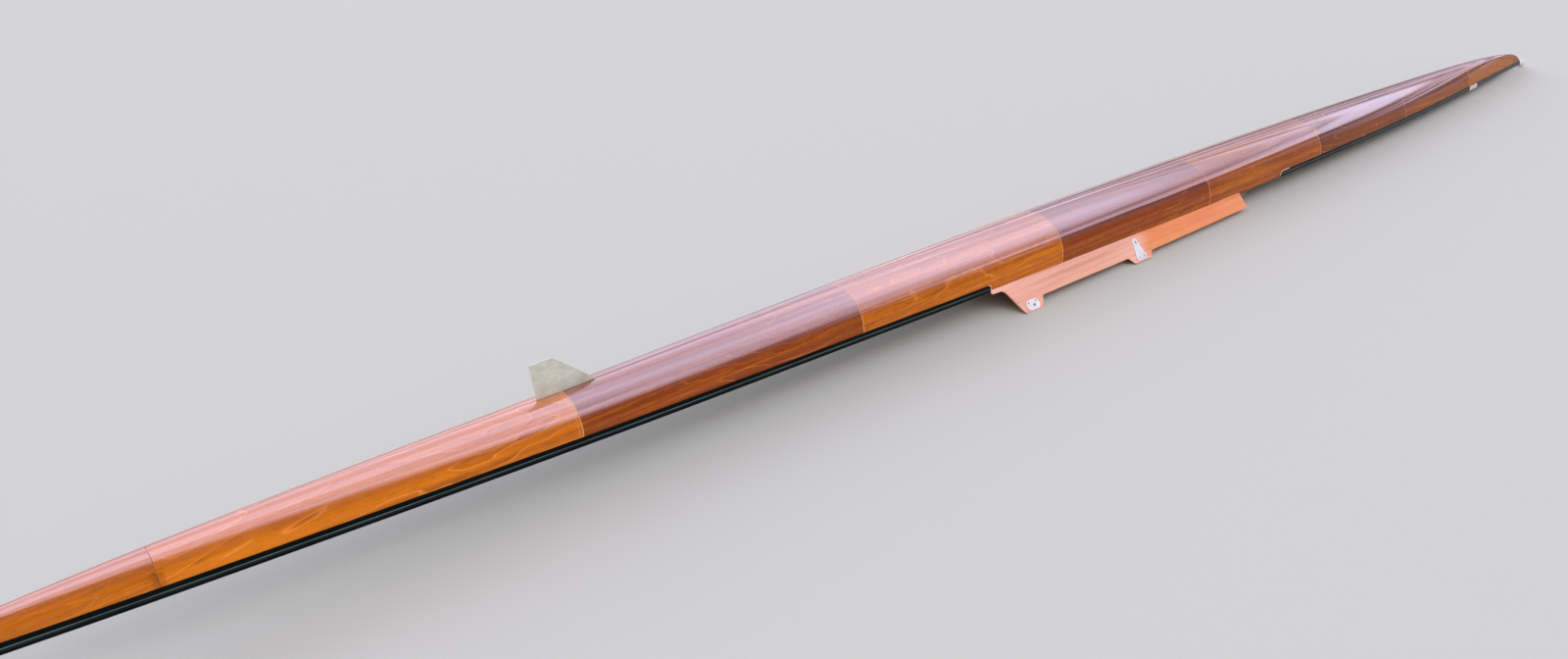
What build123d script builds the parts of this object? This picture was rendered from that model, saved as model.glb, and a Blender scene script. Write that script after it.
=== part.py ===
from build123d import *
from collections import namedtuple
from math import atan2, cos, degrees, pi, radians, sin, tan
import os

# A racing single scull of varnished veneer, stored keel up as it lies on its shoulders and bow ball.
# Built with X from the stern to the bow (seam 0 at x = 0), Y to starboard and Z up through the keel.
# Millimetres. The whole boat is turned and moved to its parked place at the end.

# Driving dimensions of the hull
panel_pitch = 940.0        # distance between two seams of the skin
skin = 3.0                 # thickness of the veneer
fullness = 2.0             # how much the bilge of a wide section swells out past an ellipse
strip_height = 24.0        # black gunwale strip, and the skin behind it
strip_swell = 6.0          # how far the half round strip stands out
deck_thickness = 2.5
deck_crown = 0.09          # rise of the deck, as a share of the half beam

# Lines of the hull. Columns: place in panel pitches, half beam, height of the strip's upper edge, keel
LINES = [
    (-0.60, 8.0, 121.0, 150.0),
    (0.00, 47.0, 116.0, 182.0),
    (1.00, 88.0, 108.5, 198.0),
    (2.00, 112.5, 104.5, 216.0),
    (3.00, 131.5, 101.5, 227.5),
    (4.00, 143.0, 101.0, 229.0),
    (5.00, 137.5, 102.5, 227.0),
    (6.00, 117.0, 104.0, 223.0),
    (7.00, 70.0, 106.5, 213.5),
    (7.50, 38.5, 105.5, 196.0),
    (7.87, 14.0, 104.0, 163.0),
    (7.97, 9.0, 103.5, 139.0),
    (8.05, 5.0, 103.0, 106.0),
]
seams = 8                  # seams 0 to 7, so nine skin panels
sternpost_place = -0.45    # where the skin ends on the solid sternpost
stem_place = 7.87          # where the skin ends on the solid stem

# Cockpit. What stands in it is placed from its stern or bow end
cockpit_stern = 2444.0
cockpit_length = 1546.0
bulkhead_thickness = 6.0
hatch_radius = 45.0
hatch_rise = 42.0          # hatch centre above the strip's upper edge
hatch_rim = 8.0            # flange outside the hole
hatch_flange = 4.0
grip_length = 63.0
grip_width = 12.0
grip_height = 8.0
inwale_width = 12.0
inwale_height = 20.0
keelson_width = 26.0
keelson_depth = 14.0
rib_width = 12.0
rib_depth = 10.0
rib_bow_gap = 140.0        # third rib to the bow end
fit_gap = 0.3              # clearance of a seated or sliding piece
bare_run = 343.0           # bare skin between the cockpit and the bow strips

# Flared washboards. Depths are measured down the slope from the board's upper edge
flare = radians(42.0)
board_thickness = 8.0
board_overlap = 6.0        # how far the board covers the side of the skin
board_stern_edge = 14.0
board_bow_edge = 67.0
board_end_gap = 2.0        # board to the bow end of the cockpit
board_end_radius = 3.0

# Each shoulder: places from the cockpit's stern end, depths down the slope, radii of the corners
Shoulder = namedtuple("Shoulder", "centre root_1 tip_1 tip_2 root_2 edge_1 tip edge_2 radius_1 radius_tip radius_2")
SHOULDERS = {
    "stern": Shoulder(146.0, 56.0, 101.0, 188.0, 212.0, 16.0, 116.0, 76.0, 34.0, 16.0, 12.0),
    "bow": Shoulder(778.0, 706.0, 726.0, 828.0, 850.0, 73.0, 100.0, 76.0, 12.0, 14.0, 12.0),
}

# Bolt hole and metal plate of each shoulder: places from the shoulder's centre, depths down the slope
Plate = namedtuple("Plate", "hole hole_depth root_1 root_2 top tip_1 tip_2 radius_root radius_tip")
PLATES = {
    "stern": Plate(7.0, 96.0, -30.0, 32.0, 76.0, -30.0, 34.0, 16.0, 14.0),
    "bow": Plate(6.0, 30.0, -6.0, 16.0, 14.0, -36.0, 30.0, 9.0, 12.0),
}
rigger_bolt = 9.0          # bore of the rigger bolt holes
plate_thickness = 2.0
plate_seat = 0.1           # glue under a plate
plate_margin = 5.0         # wood left bare below a plate
knee_width = 34.0
knee_depth = 12.0
knee_end = 84.0

# Splash boards on the bow deck
splash_length = 500.0
splash_height = 50.0
splash_tip_height = 42.0
splash_thickness = 8.0

# Sliding seat bed
track_stern_gap = 481.0    # track to the stern end of the cockpit
track_bow_gap = 285.0
track_gauge = 200.0
track_width = 26.0
track_depth = 10.0
track_wall = 2.5
beam_count = 3
beam_end_gap = 25.0        # middle of an end beam to the end of the track
beam_width = 22.0
beam_depth = 14.0
runner_width = 30.0
runner_depth = 12.0
runner_overhang = 15.0

# Foot stretcher, clamped on two side rails and a keel rail
stretcher_slope = radians(45.0)
heel_gap = 294.0           # heels to the stern end of the cockpit
stretcher_length = 212.0
stretcher_thickness = 10.0
stretcher_corner = 12.0
heel_width = 150.0
toe_width = 168.0
slot_place = 110.0         # middle of the slot above the heels
slot_length = 106.0
slot_width = 26.0
rail_inner = 92.0
rail_low = 82.0
rail_height = 14.0
rail_stern_gap = 10.0      # rail to the stern end of the cockpit
rail_bow_gap = 30.0        # rail to the slide runner
bar_width = 24.0
bar_depth = 12.0
bar_lap = 12.0             # how far the bar reaches under a rail
keel_rail_width = 16.0
keel_rail_depth = 8.0
keel_rail_gap = 56.0       # keel rail to the stern end of the cockpit
foot_length = 44.0
foot_width = 60.0
foot_depth = 14.0
foot_lap = 2.0             # how far the heels stand into the foot
foot_set_back = 6.0
cup_heel = 6.0             # bare wood behind the heel cups
cup_radius = 32.0
cup_height = 30.0
cup_wall = 3.0
cup_spacing = 70.0
strap_place = 152.0        # strap above the heels
strap_width = 34.0
strap_thickness = 3.0
strap_rise = 48.0
strap_inset = 10.0         # strap to the edge at the toes

# Fin, stem and bow ball
fin_stern = 871.0
fin_root = 172.0
fin_top = 62.0
fin_height = 97.0
fin_rake = 13.0            # how far the top leans to the stern
fin_tip_rise = 2.0
fin_swell = 1.5            # how far the leading edge bows out
fin_tang = 10.0            # depth of the sheet below the keel, before it is cut to the skin
fin_sheet = 2.0
ball_radius = 22.0
ball_reach = 45.0          # ball centre ahead of the stem
ball_height = 82.0
neck_radius = 8.0
neck_rise = 6.0

os.makedirs("parts", exist_ok=True)
pieces = []


def keep(part, label):
    part.label = label
    pieces.append(part)


def keep_pair(part, label):
    """Keep the starboard piece and its port mirror image."""
    keep(part, label + "_starboard")
    keep(mirror(part, about=Plane.XZ), label + "_port")


def lines_at(place):
    """Half beam, sheer and keel from the table, by a cubic with the slopes of the neighbouring rows."""
    last = len(LINES) - 2
    row = min(max(sum(place >= line[0] for line in LINES) - 1, 0), last)
    start, end = LINES[row], LINES[row + 1]
    before = LINES[max(row - 1, 0)]
    after = LINES[min(row + 2, last + 1)]
    span = end[0] - start[0]
    t = (place - start[0]) / span
    values = []
    for column in (1, 2, 3):
        slope_in = (end[column] - before[column]) / (end[0] - before[0]) * span
        slope_out = (after[column] - start[column]) / (after[0] - start[0]) * span
        values.append(
            (2 * t**3 - 3 * t**2 + 1) * start[column]
            + (t**3 - 2 * t**2 + t) * slope_in
            + (3 * t**2 - 2 * t**3) * end[column]
            + (t**3 - t**2) * slope_out
        )
    return values


# The skin is ruled between these places, and what seats on it uses the same ones
STATIONS = [LINES[0][0], sternpost_place, -0.2] + [0.5 * half for half in range(2 * seams - 1)]
STATIONS += [7.25, 7.50, 7.70, stem_place, 7.93, 7.97, 8.01, LINES[-1][0]]


def hull_at(place):
    """Half beam, sheer and keel of the ruled skin at any place."""
    row = min(max(sum(place >= station for station in STATIONS) - 1, 0), len(STATIONS) - 2)
    start, end = STATIONS[row], STATIONS[row + 1]
    share = (place - start) / (end - start)
    return [a + (b - a) * share for a, b in zip(lines_at(start), lines_at(end))]


def hull_at_x(x):
    return hull_at(x / panel_pitch)


def places(start, end):
    """The stations from one place to another, with both ends."""
    return [start] + [station for station in STATIONS if start + 1e-6 < station < end - 1e-6] + [end]


def places_x(start, end):
    """The same from one x to another."""
    return places(start / panel_pitch, end / panel_pitch)


def bilge_join(half_beam, depth):
    """Where the side arc meets the keel arc with one tangent, from the centre of the sheer."""
    turn = atan2(half_beam, depth)
    if half_beam > depth:
        turn += fullness * (turn - pi / 4)
    share = 1 - sin(turn) - cos(turn)
    side_radius = (half_beam * (1 - sin(turn)) - depth * cos(turn)) / share
    return half_beam - side_radius * (1 - cos(turn)), side_radius * sin(turn)


def hull_section(place, inset=0.0, below=strip_height):
    """Closed section of the hull, inside by the inset, down to the given depth below the sheer."""
    half_beam, sheer, keel = hull_at(place)
    side, low = half_beam - inset, sheer - below
    top = keel - inset
    join_y, join_rise = bilge_join(side, top - sheer)
    join_z = sheer + join_rise
    with BuildSketch(Plane.YZ.offset(place * panel_pitch)) as section:
        with BuildLine():
            Line((-side, low), (side, low))
            Line((side, low), (side, sheer))
            TangentArc((side, sheer), (join_y, join_z), tangent=(0, 1))
            ThreePointArc((join_y, join_z), (0, top), (-join_y, join_z))
            TangentArc((-side, sheer), (-join_y, join_z), tangent=(0, 1))
            Line((-side, sheer), (-side, low))
        make_face()
    return section.sketch


def deck_section(place, upper):
    """Crowned deck under the sheer, or all that is above its lower face where upper is a height."""
    half_beam, sheer, keel = hull_at(place)
    edge = sheer - strip_height
    crown = deck_crown * half_beam
    with BuildSketch(Plane.YZ.offset(place * panel_pitch)) as section:
        with BuildLine():
            low = edge - deck_thickness
            ThreePointArc((-half_beam, low), (0, low - crown), (half_beam, low))
            Line((half_beam, low), (half_beam, edge + upper))
            if upper:
                Line((half_beam, edge + upper), (-half_beam, edge + upper))
            else:
                ThreePointArc((half_beam, edge), (0, edge - crown), (-half_beam, edge))
            Line((-half_beam, edge + upper), (-half_beam, low))
        make_face()
    return section.sketch


def side_box(place, inner, outer, low, high):
    """Rectangle on the starboard side, its sides given from the skin's outer face and the sheer."""
    half_beam, sheer, keel = hull_at(place)
    with BuildSketch(Plane.YZ.offset(place * panel_pitch)) as section:
        with BuildLine():
            Polyline(
                (half_beam + inner, sheer + low),
                (half_beam + outer, sheer + low),
                (half_beam + outer, sheer + high),
                (half_beam + inner, sheer + high),
                close=True,
            )
        make_face()
    return section.sketch


def strip_section(place):
    """Half round gunwale strip on the outside of the skin."""
    half_beam, sheer, keel = hull_at(place)
    with BuildSketch(Plane.YZ.offset(place * panel_pitch)) as section:
        with BuildLine():
            low = sheer - strip_height
            ThreePointArc((half_beam, low), (half_beam + strip_swell, (sheer + low) / 2), (half_beam, sheer))
            Line((half_beam, sheer), (half_beam, low))
        make_face()
    return section.sketch


# Skin panels, each between two seams
panel_ends = [sternpost_place] + list(range(seams)) + [stem_place]
for number, (start, end) in enumerate(zip(panel_ends[:-1], panel_ends[1:]), start=1):
    with BuildPart() as hull_panel:
        loft(sections=[hull_section(place) for place in places(start, end)], ruled=True)
        loft(
            sections=[hull_section(place, skin, strip_height + skin) for place in places(start, end)],
            ruled=True,
            mode=Mode.SUBTRACT,
        )
    keep(hull_panel.part, f"hull_panel_{number}")

# Solid ends of the hull
with BuildPart() as sternpost:
    loft(sections=[hull_section(place) for place in places(STATIONS[0], sternpost_place)], ruled=True)
keep(sternpost.part, "sternpost")

with BuildPart() as stem:
    loft(sections=[hull_section(place) for place in places(stem_place, STATIONS[-1])], ruled=True)
keep(stem.part, "stem")

# Gunwale strips, broken at the cockpit
cockpit_bow = cockpit_stern + cockpit_length
tail_end = STATIONS[0] * panel_pitch
stem_end = STATIONS[-1] * panel_pitch
strip_runs = {"stern": (tail_end, cockpit_stern), "bow": (cockpit_bow + bare_run, stem_end)}
for end_name, (start, end) in strip_runs.items():
    with BuildPart() as strip:
        loft(sections=[strip_section(place) for place in places_x(start, end)], ruled=True)
    keep_pair(strip.part, f"gunwale_strip_{end_name}")

# Crowned decks
deck_runs = {"stern": (tail_end, cockpit_stern), "bow": (cockpit_bow, stem_end)}
for end_name, (start, end) in deck_runs.items():
    with BuildPart() as deck:
        loft(sections=[deck_section(place, 0.0) for place in places_x(start, end)], ruled=True)
    keep(deck.part, f"{end_name}_deck")

# Room inside the skin along the cockpit, to shape what seats on it
inner_run = places_x(cockpit_stern - 2 * bulkhead_thickness, cockpit_bow + 2 * bulkhead_thickness)
with BuildPart() as inside:
    loft(sections=[hull_section(place, skin) for place in inner_run], ruled=True)

# Bulkheads with round hatches
bulkheads = {"stern": (cockpit_stern - bulkhead_thickness, 1), "bow": (cockpit_bow, -1)}
for end_name, (bulkhead_x, facing) in bulkheads.items():
    half_beam, sheer, keel = hull_at_x(bulkhead_x)
    hatch_z = sheer + hatch_rise
    with BuildPart() as bulkhead:
        with BuildSketch(Plane.YZ.offset(bulkhead_x)):
            Rectangle(4 * half_beam, 4 * keel)
        extrude(amount=bulkhead_thickness)
        add(inside.part, mode=Mode.INTERSECT)
        with BuildSketch(Plane.YZ.offset(bulkhead_x)):
            with Locations((0, hatch_z)):
                Circle(hatch_radius)
        extrude(amount=bulkhead_thickness, mode=Mode.SUBTRACT)
    keep(bulkhead.part, f"bulkhead_{end_name}")

    hatch_face = bulkhead_x + (bulkhead_thickness if facing > 0 else 0)
    with BuildPart() as hatch:
        with BuildSketch(Plane.YZ.offset(hatch_face)):
            with Locations((0, hatch_z)):
                Circle(hatch_radius + hatch_rim)
        extrude(amount=hatch_flange * facing)
        with BuildSketch(Plane.YZ.offset(hatch_face)):
            with Locations((0, hatch_z)):
                Circle(hatch_radius - fit_gap)
        extrude(amount=-bulkhead_thickness * facing)
        with BuildSketch(Plane.YZ.offset(hatch_face + hatch_flange * facing)):
            with Locations((0, hatch_z)):
                SlotOverall(grip_length, grip_width)
        extrude(amount=grip_height * facing)
    keep(hatch.part, f"hatch_{end_name}")

# Keelson between the bulkheads
cockpit_run = places_x(cockpit_stern, cockpit_bow)
keel_line = [hull_at(place)[2] for place in cockpit_run]
keelson_low = min(keel_line) - skin - keelson_depth
with BuildPart() as keelson:
    with BuildSketch(Plane.YZ.offset(cockpit_stern)):
        with Locations((0, keelson_low)):
            Rectangle(keelson_width, 3 * keelson_depth, align=(Align.CENTER, Align.MIN))
    extrude(amount=cockpit_bow - cockpit_stern)
    add(inside.part, mode=Mode.INTERSECT)
keep(keelson.part, "keelson")

# Ribs round the inside of the skin, above the inwales, let in round the keelson
rib_places = [cockpit_stern + shoulder.centre for shoulder in SHOULDERS.values()] + [cockpit_bow - rib_bow_gap]
for number, rib_x in enumerate(rib_places, start=1):
    half_beam, sheer, keel = hull_at_x(rib_x)
    with BuildPart() as rib:
        with BuildSketch(Plane.YZ.offset(rib_x - rib_width / 2)):
            with Locations((0, sheer - strip_height + inwale_height + fit_gap)):
                Rectangle(2 * half_beam, keel, align=(Align.CENTER, Align.MIN))
        extrude(amount=rib_width)
        add(inside.part, mode=Mode.INTERSECT)
        trimmed = hull_section(rib_x / panel_pitch, skin + rib_depth).moved(Location((-rib_width, 0, 0)))
        extrude(to_extrude=trimmed, amount=2 * rib_width, dir=(1, 0, 0), mode=Mode.SUBTRACT)
        add(keelson.part, mode=Mode.SUBTRACT)
    keep(rib.part, f"rib_{number}")

# Inwales along the inside of the sheer
inwale_top = inwale_height - strip_height
with BuildPart() as inwale:
    loft(
        sections=[
            side_box(place, -skin - inwale_width, -skin, -strip_height, inwale_top) for place in cockpit_run
        ],
        ruled=True,
    )
keep_pair(inwale.part, "inwale")

# Flared washboards, one outline for both sides
shoulder_sheers = [hull_at_x(cockpit_stern + shoulder.centre)[1] for shoulder in SHOULDERS.values()]
board_top = min(shoulder_sheers) - strip_height + board_overlap
board_bow = cockpit_bow - board_end_gap
board_reach = max(shoulder.tip for shoulder in SHOULDERS.values()) + board_thickness
root_drop = board_thickness * (sin(flare) + cos(flare) / tan(flare))
wide = 3 * max(line[1] for line in LINES)      # past the widest piece


def drop(depth):
    """Height of a point that lies the given depth down the slope of the board."""
    return board_top - depth * cos(flare)


def board_section(place):
    """Slanted section of the washboard blank, its root against the skin."""
    half_beam, sheer, keel = lines_at(place)
    outer = (half_beam + board_reach * sin(flare), drop(board_reach))
    inner = (outer[0] - board_thickness * cos(flare), outer[1] - board_thickness * sin(flare))
    with BuildSketch(Plane.YZ.offset(place * panel_pitch)) as section:
        with BuildLine():
            Polyline((half_beam, board_top), outer, inner, (half_beam, board_top - root_drop), close=True)
        make_face()
    return section.sketch


def shoulder_face(shoulder):
    """Outer face of the board at a shoulder: x along the boat, y down the slope, z out of the wood."""
    centre = cockpit_stern + shoulder.centre
    beams = [lines_at((cockpit_stern + tip) / panel_pitch)[0] for tip in (shoulder.tip_1, shoulder.tip_2)]
    yaw = atan2(beams[1] - beams[0], shoulder.tip_2 - shoulder.tip_1)
    return Plane(
        origin=(centre, lines_at(centre / panel_pitch)[0], board_top),
        x_dir=(cos(yaw), sin(yaw), 0),
        z_dir=(-sin(yaw) * cos(flare), cos(yaw) * cos(flare), cos(yaw) * sin(flare)),
    )


# One rigger bolt hole through the plate, the board and the knee of each shoulder
bolt_reach = board_thickness + 2 * knee_depth
bolt_holes = {}
for name, plate_size in PLATES.items():
    with BuildPart() as bolt_hole:
        with BuildSketch(shoulder_face(SHOULDERS[name]).offset(-bolt_reach)):
            with Locations((plate_size.hole, plate_size.hole_depth)):
                Circle(rigger_bolt / 2)
        extrude(amount=2 * bolt_reach)
    bolt_holes[name] = bolt_hole.part

outline = [(cockpit_stern, board_top + 1), (cockpit_stern, drop(board_stern_edge))]
radii = [board_end_radius]
for shoulder in SHOULDERS.values():
    outline += [
        (cockpit_stern + shoulder.root_1, drop(shoulder.edge_1)),
        (cockpit_stern + shoulder.tip_1, drop(shoulder.tip)),
        (cockpit_stern + shoulder.tip_2, drop(shoulder.tip)),
        (cockpit_stern + shoulder.root_2, drop(shoulder.edge_2)),
    ]
    radii += [shoulder.radius_1, shoulder.radius_tip, shoulder.radius_tip, shoulder.radius_2]
outline += [(board_bow, drop(board_bow_edge)), (board_bow, board_top + 1)]
radii += [board_end_radius]

with BuildPart() as washboard:
    blank_run = places_x(cockpit_stern - bulkhead_thickness, board_bow + bulkhead_thickness)
    loft(sections=[board_section(place) for place in blank_run])
    with BuildSketch(Plane.XZ.offset(-wide)):
        with BuildLine():
            FilletPolyline(*outline, radius=radii)
            Line(outline[-1], outline[0])
        make_face()
    extrude(amount=wide, mode=Mode.INTERSECT)
    for bolt_hole in bolt_holes.values():
        add(bolt_hole, mode=Mode.SUBTRACT)
keep_pair(washboard.part, "washboard")

# Knees behind the shoulders and metal plates on their faces
for name, shoulder in SHOULDERS.items():
    centre = cockpit_stern + shoulder.centre
    sheer = hull_at_x(centre)[1]
    seat_y = min(hull_at_x(centre + side * knee_width / 2)[0] for side in (-1, 1))
    seat_z = sheer - strip_height - fit_gap
    run = knee_end - root_drop * cos(flare)
    root = (seat_y, board_top - root_drop)
    toe = (root[0] + run * sin(flare), root[1] - run * cos(flare))
    back = (toe[0] - knee_depth * cos(flare), toe[1] - knee_depth * sin(flare))
    heel = (root[0] - knee_depth * cos(flare), root[1] - knee_depth * sin(flare))
    inner = seat_y - skin - inwale_width
    with BuildPart() as knee:
        with BuildSketch(Plane.YZ.offset(centre - knee_width / 2)):
            with BuildLine():
                Polyline((inner, seat_z), (seat_y, seat_z), root, toe, back, heel, (inner, heel[1]), close=True)
            make_face()
        extrude(amount=knee_width)
        add(bolt_holes[name], mode=Mode.SUBTRACT)
    keep_pair(knee.part, f"shoulder_knee_{name}")

    size = PLATES[name]
    end = shoulder.tip - plate_margin
    corners = [(size.root_1, size.top), (size.root_2, size.top), (size.tip_2, end), (size.tip_1, end)]
    with BuildPart() as plate:
        with BuildSketch(shoulder_face(shoulder).offset(plate_seat)):
            with BuildLine():
                corner_radii = [size.radius_root, size.radius_root, size.radius_tip, size.radius_tip]
                FilletPolyline(*corners, close=True, radius=corner_radii)
            make_face()
        extrude(amount=plate_thickness)
        add(bolt_holes[name], mode=Mode.SUBTRACT)
    keep_pair(plate.part, f"shoulder_plate_{name}")

# Splash boards that meet in a V on the bow deck
splash_apex = cockpit_bow + splash_length
with BuildPart() as over_deck:
    deck_places = places_x(cockpit_bow, splash_apex + splash_height)
    loft(sections=[deck_section(place, 2 * strip_height) for place in deck_places], ruled=True)

splash_start = hull_at_x(board_bow)[0]
splash_angle = atan2(splash_start, splash_length)
splash_low = drop(0) - splash_height
with BuildPart() as splash_board:
    with BuildSketch(Plane.XY.offset(splash_low)):
        with BuildLine():
            Polyline(
                (cockpit_bow, splash_start),
                (splash_apex, 0),
                (splash_apex - splash_thickness / sin(splash_angle), 0),
                (cockpit_bow, splash_start - splash_thickness / cos(splash_angle)),
                close=True,
            )
        make_face()
    extrude(amount=splash_height + strip_height)
    with BuildSketch(Plane.XZ.offset(-wide)):
        with BuildLine():
            Polyline(
                (cockpit_bow - 1, splash_low - 1),
                (splash_apex + 1, splash_low - 1),
                (splash_apex + 1, splash_low + splash_height - splash_tip_height),
                (cockpit_bow - 1, splash_low),
                close=True,
            )
        make_face()
    extrude(amount=wide, mode=Mode.SUBTRACT)
    add(over_deck.part, mode=Mode.SUBTRACT)
keep_pair(splash_board.part, "splash_board")

# Sliding seat bed: cross beams, runners and channel tracks
track_stern = cockpit_stern + track_stern_gap
track_bow = cockpit_bow - track_bow_gap
track_length = track_bow - track_stern
beam_pitch = (track_length - 2 * beam_end_gap) / (beam_count - 1)
beam_places = [track_stern + beam_end_gap + number * beam_pitch for number in range(beam_count)]
beam_sheers = [hull_at_x(x + side * beam_width / 2)[1] for x in beam_places for side in (-1, 1)]
slide_top = max(beam_sheers) - strip_height + inwale_height + fit_gap
for number, beam_x in enumerate(beam_places, start=1):
    with BuildPart() as beam:
        with BuildSketch(Plane.YZ.offset(beam_x - beam_width / 2)):
            with Locations((0, slide_top)):
                Rectangle(2 * hull_at_x(beam_x)[0], beam_depth, align=(Align.CENTER, Align.MIN))
        extrude(amount=beam_width)
        add(inside.part, mode=Mode.INTERSECT)
    keep(beam.part, f"slide_beam_{number}")

with BuildPart() as runner:
    with BuildSketch(Plane.YZ.offset(track_stern - runner_overhang)):
        with Locations((track_gauge / 2, slide_top)):
            Rectangle(runner_width, runner_depth, align=(Align.CENTER, Align.MAX))
    extrude(amount=track_length + 2 * runner_overhang)
keep_pair(runner.part, "slide_runner")

with BuildPart() as track:
    with BuildSketch(Plane.YZ.offset(track_stern)):
        with Locations((track_gauge / 2, slide_top - runner_depth)):
            Rectangle(track_width, track_depth, align=(Align.CENTER, Align.MAX))
        with Locations((track_gauge / 2, slide_top - runner_depth - track_wall)):
            Rectangle(
                track_width - 2 * track_wall,
                track_depth,
                align=(Align.CENTER, Align.MAX),
                mode=Mode.SUBTRACT,
            )
    extrude(amount=track_length)
keep_pair(track.part, "slide_track")

# Rails that carry the foot stretcher
rail_bow = track_stern - runner_overhang - rail_bow_gap
with BuildPart() as side_rail:
    rail_sections = []
    for place in places_x(cockpit_stern + rail_stern_gap, rail_bow):
        outer = hull_at(place)[0] - skin - inwale_width
        with BuildSketch(Plane.YZ.offset(place * panel_pitch), mode=Mode.PRIVATE) as rail_section:
            with BuildLine():
                Polyline(
                    (rail_inner, rail_low),
                    (outer, rail_low),
                    (outer, rail_low + rail_height),
                    (rail_inner, rail_low + rail_height),
                    close=True,
                )
            make_face()
        rail_sections.append(rail_section.sketch)
    loft(sections=rail_sections, ruled=True)
keep_pair(side_rail.part, "stretcher_rail")

keel_rail_stern = cockpit_stern + keel_rail_gap
with BuildPart() as keel_rail:
    with BuildSketch(Plane.YZ.offset(keel_rail_stern)):
        with Locations((0, keelson_low)):
            Rectangle(keel_rail_width, keel_rail_depth, align=(Align.CENTER, Align.MAX))
    extrude(amount=rail_bow - keel_rail_stern)
keep(keel_rail.part, "stretcher_keel_rail")

# Foot stretcher. The board's plane has its y axis from the heels to the toes and its z axis to the back
heel_x = cockpit_stern + heel_gap
foot_top = keelson_low - keel_rail_depth - fit_gap
heel_z = foot_top - foot_depth + foot_lap
board_plane = Plane(
    origin=(heel_x, 0, heel_z),
    x_dir=(0, 1, 0),
    z_dir=(-sin(stretcher_slope), 0, cos(stretcher_slope)),
)
with BuildPart() as stretcher_board:
    with BuildSketch(board_plane):
        with BuildLine():
            FilletPolyline(
                (-heel_width / 2, 0),
                (heel_width / 2, 0),
                (toe_width / 2, stretcher_length),
                (-toe_width / 2, stretcher_length),
                close=True,
                radius=stretcher_corner,
            )
        make_face()
        with Locations((0, slot_place)):
            SlotOverall(slot_length, slot_width, rotation=90, mode=Mode.SUBTRACT)
    extrude(amount=stretcher_thickness)
keep(stretcher_board.part, "stretcher_board")

bar_top = rail_low - fit_gap
bar_centre = bar_top - bar_depth / 2
bar_x = heel_x - (heel_z - bar_centre) / tan(stretcher_slope) - stretcher_thickness / sin(stretcher_slope)
with BuildPart() as stretcher_bar:
    with Locations((bar_x, 0, bar_centre)):
        Box(bar_width, 2 * (rail_inner + bar_lap), bar_depth, align=(Align.MAX, Align.CENTER, Align.CENTER))
    add(stretcher_board.part, mode=Mode.SUBTRACT)
keep(stretcher_bar.part, "stretcher_bar")

with BuildPart() as stretcher_foot:
    with Locations((heel_x - foot_set_back, 0, foot_top)):
        Box(foot_length, foot_width, foot_depth, align=(Align.MIN, Align.CENTER, Align.MAX))
    add(stretcher_board.part, mode=Mode.SUBTRACT)
keep(stretcher_foot.part, "stretcher_foot")

with BuildPart() as heel_cups:
    with BuildSketch(board_plane):
        with Locations((cup_spacing / 2, cup_radius + cup_heel), (-cup_spacing / 2, cup_radius + cup_heel)):
            Circle(cup_radius)
            Circle(cup_radius - cup_wall, mode=Mode.SUBTRACT)
        with Locations((0, cup_radius + cup_heel)):
            Rectangle(4 * cup_radius, cup_radius, align=(Align.CENTER, Align.MIN), mode=Mode.SUBTRACT)
    extrude(amount=-cup_height)
keep(heel_cups.part, "heel_cups")

with BuildPart() as toe_strap:
    strap_plane = Plane(
        origin=board_plane.from_local_coords((0, strap_place, 0)),
        x_dir=(0, 1, 0),
        z_dir=board_plane.y_dir,
    )
    with BuildSketch(strap_plane):
        with BuildLine():
            half = toe_width / 2 - strap_inset
            ThreePointArc((-half, 0), (0, strap_rise), (half, 0))
            Line((half, 0), (half - strap_thickness, 0))
            ThreePointArc(
                (half - strap_thickness, 0), (0, strap_rise - strap_thickness), (strap_thickness - half, 0)
            )
            Line((strap_thickness - half, 0), (-half, 0))
        make_face()
    extrude(amount=strap_width)
keep(toe_strap.part, "toe_strap")

# Fin on the keel, over seam 1
with BuildPart() as fin:
    fin_keel = hull_at_x(fin_stern)[2]
    fin_bow = fin_stern + fin_root
    top_stern = (fin_stern - fin_rake, fin_keel + fin_height)
    top_bow = (top_stern[0] + fin_top, top_stern[1] + fin_tip_rise)
    with BuildSketch(Plane.XZ.offset(-fin_sheet / 2)):
        with BuildLine():
            Polyline((fin_stern, fin_keel - fin_tang), (fin_stern, fin_keel), top_stern, top_bow)
            SagittaArc(top_bow, (fin_bow, fin_keel), fin_swell)
            Polyline((fin_bow, fin_keel), (fin_bow, fin_keel - fin_tang), (fin_stern, fin_keel - fin_tang))
        make_face()
    extrude(amount=fin_sheet)
    under_fin = places_x(fin_stern - fin_root, fin_bow + fin_root)
    loft(sections=[hull_section(place) for place in under_fin], ruled=True, mode=Mode.SUBTRACT)
keep(fin.part, "fin")

# Bow ball on its short neck
with BuildPart() as bow_ball:
    with Locations((stem_end + ball_reach, 0, ball_height)):
        Sphere(ball_radius)
    with BuildSketch(Plane.YZ.offset(stem_end)):
        with Locations((0, ball_height + neck_rise)):
            Circle(neck_radius)
    extrude(amount=ball_reach)
keep(bow_ball.part, "bow_ball")

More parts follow.
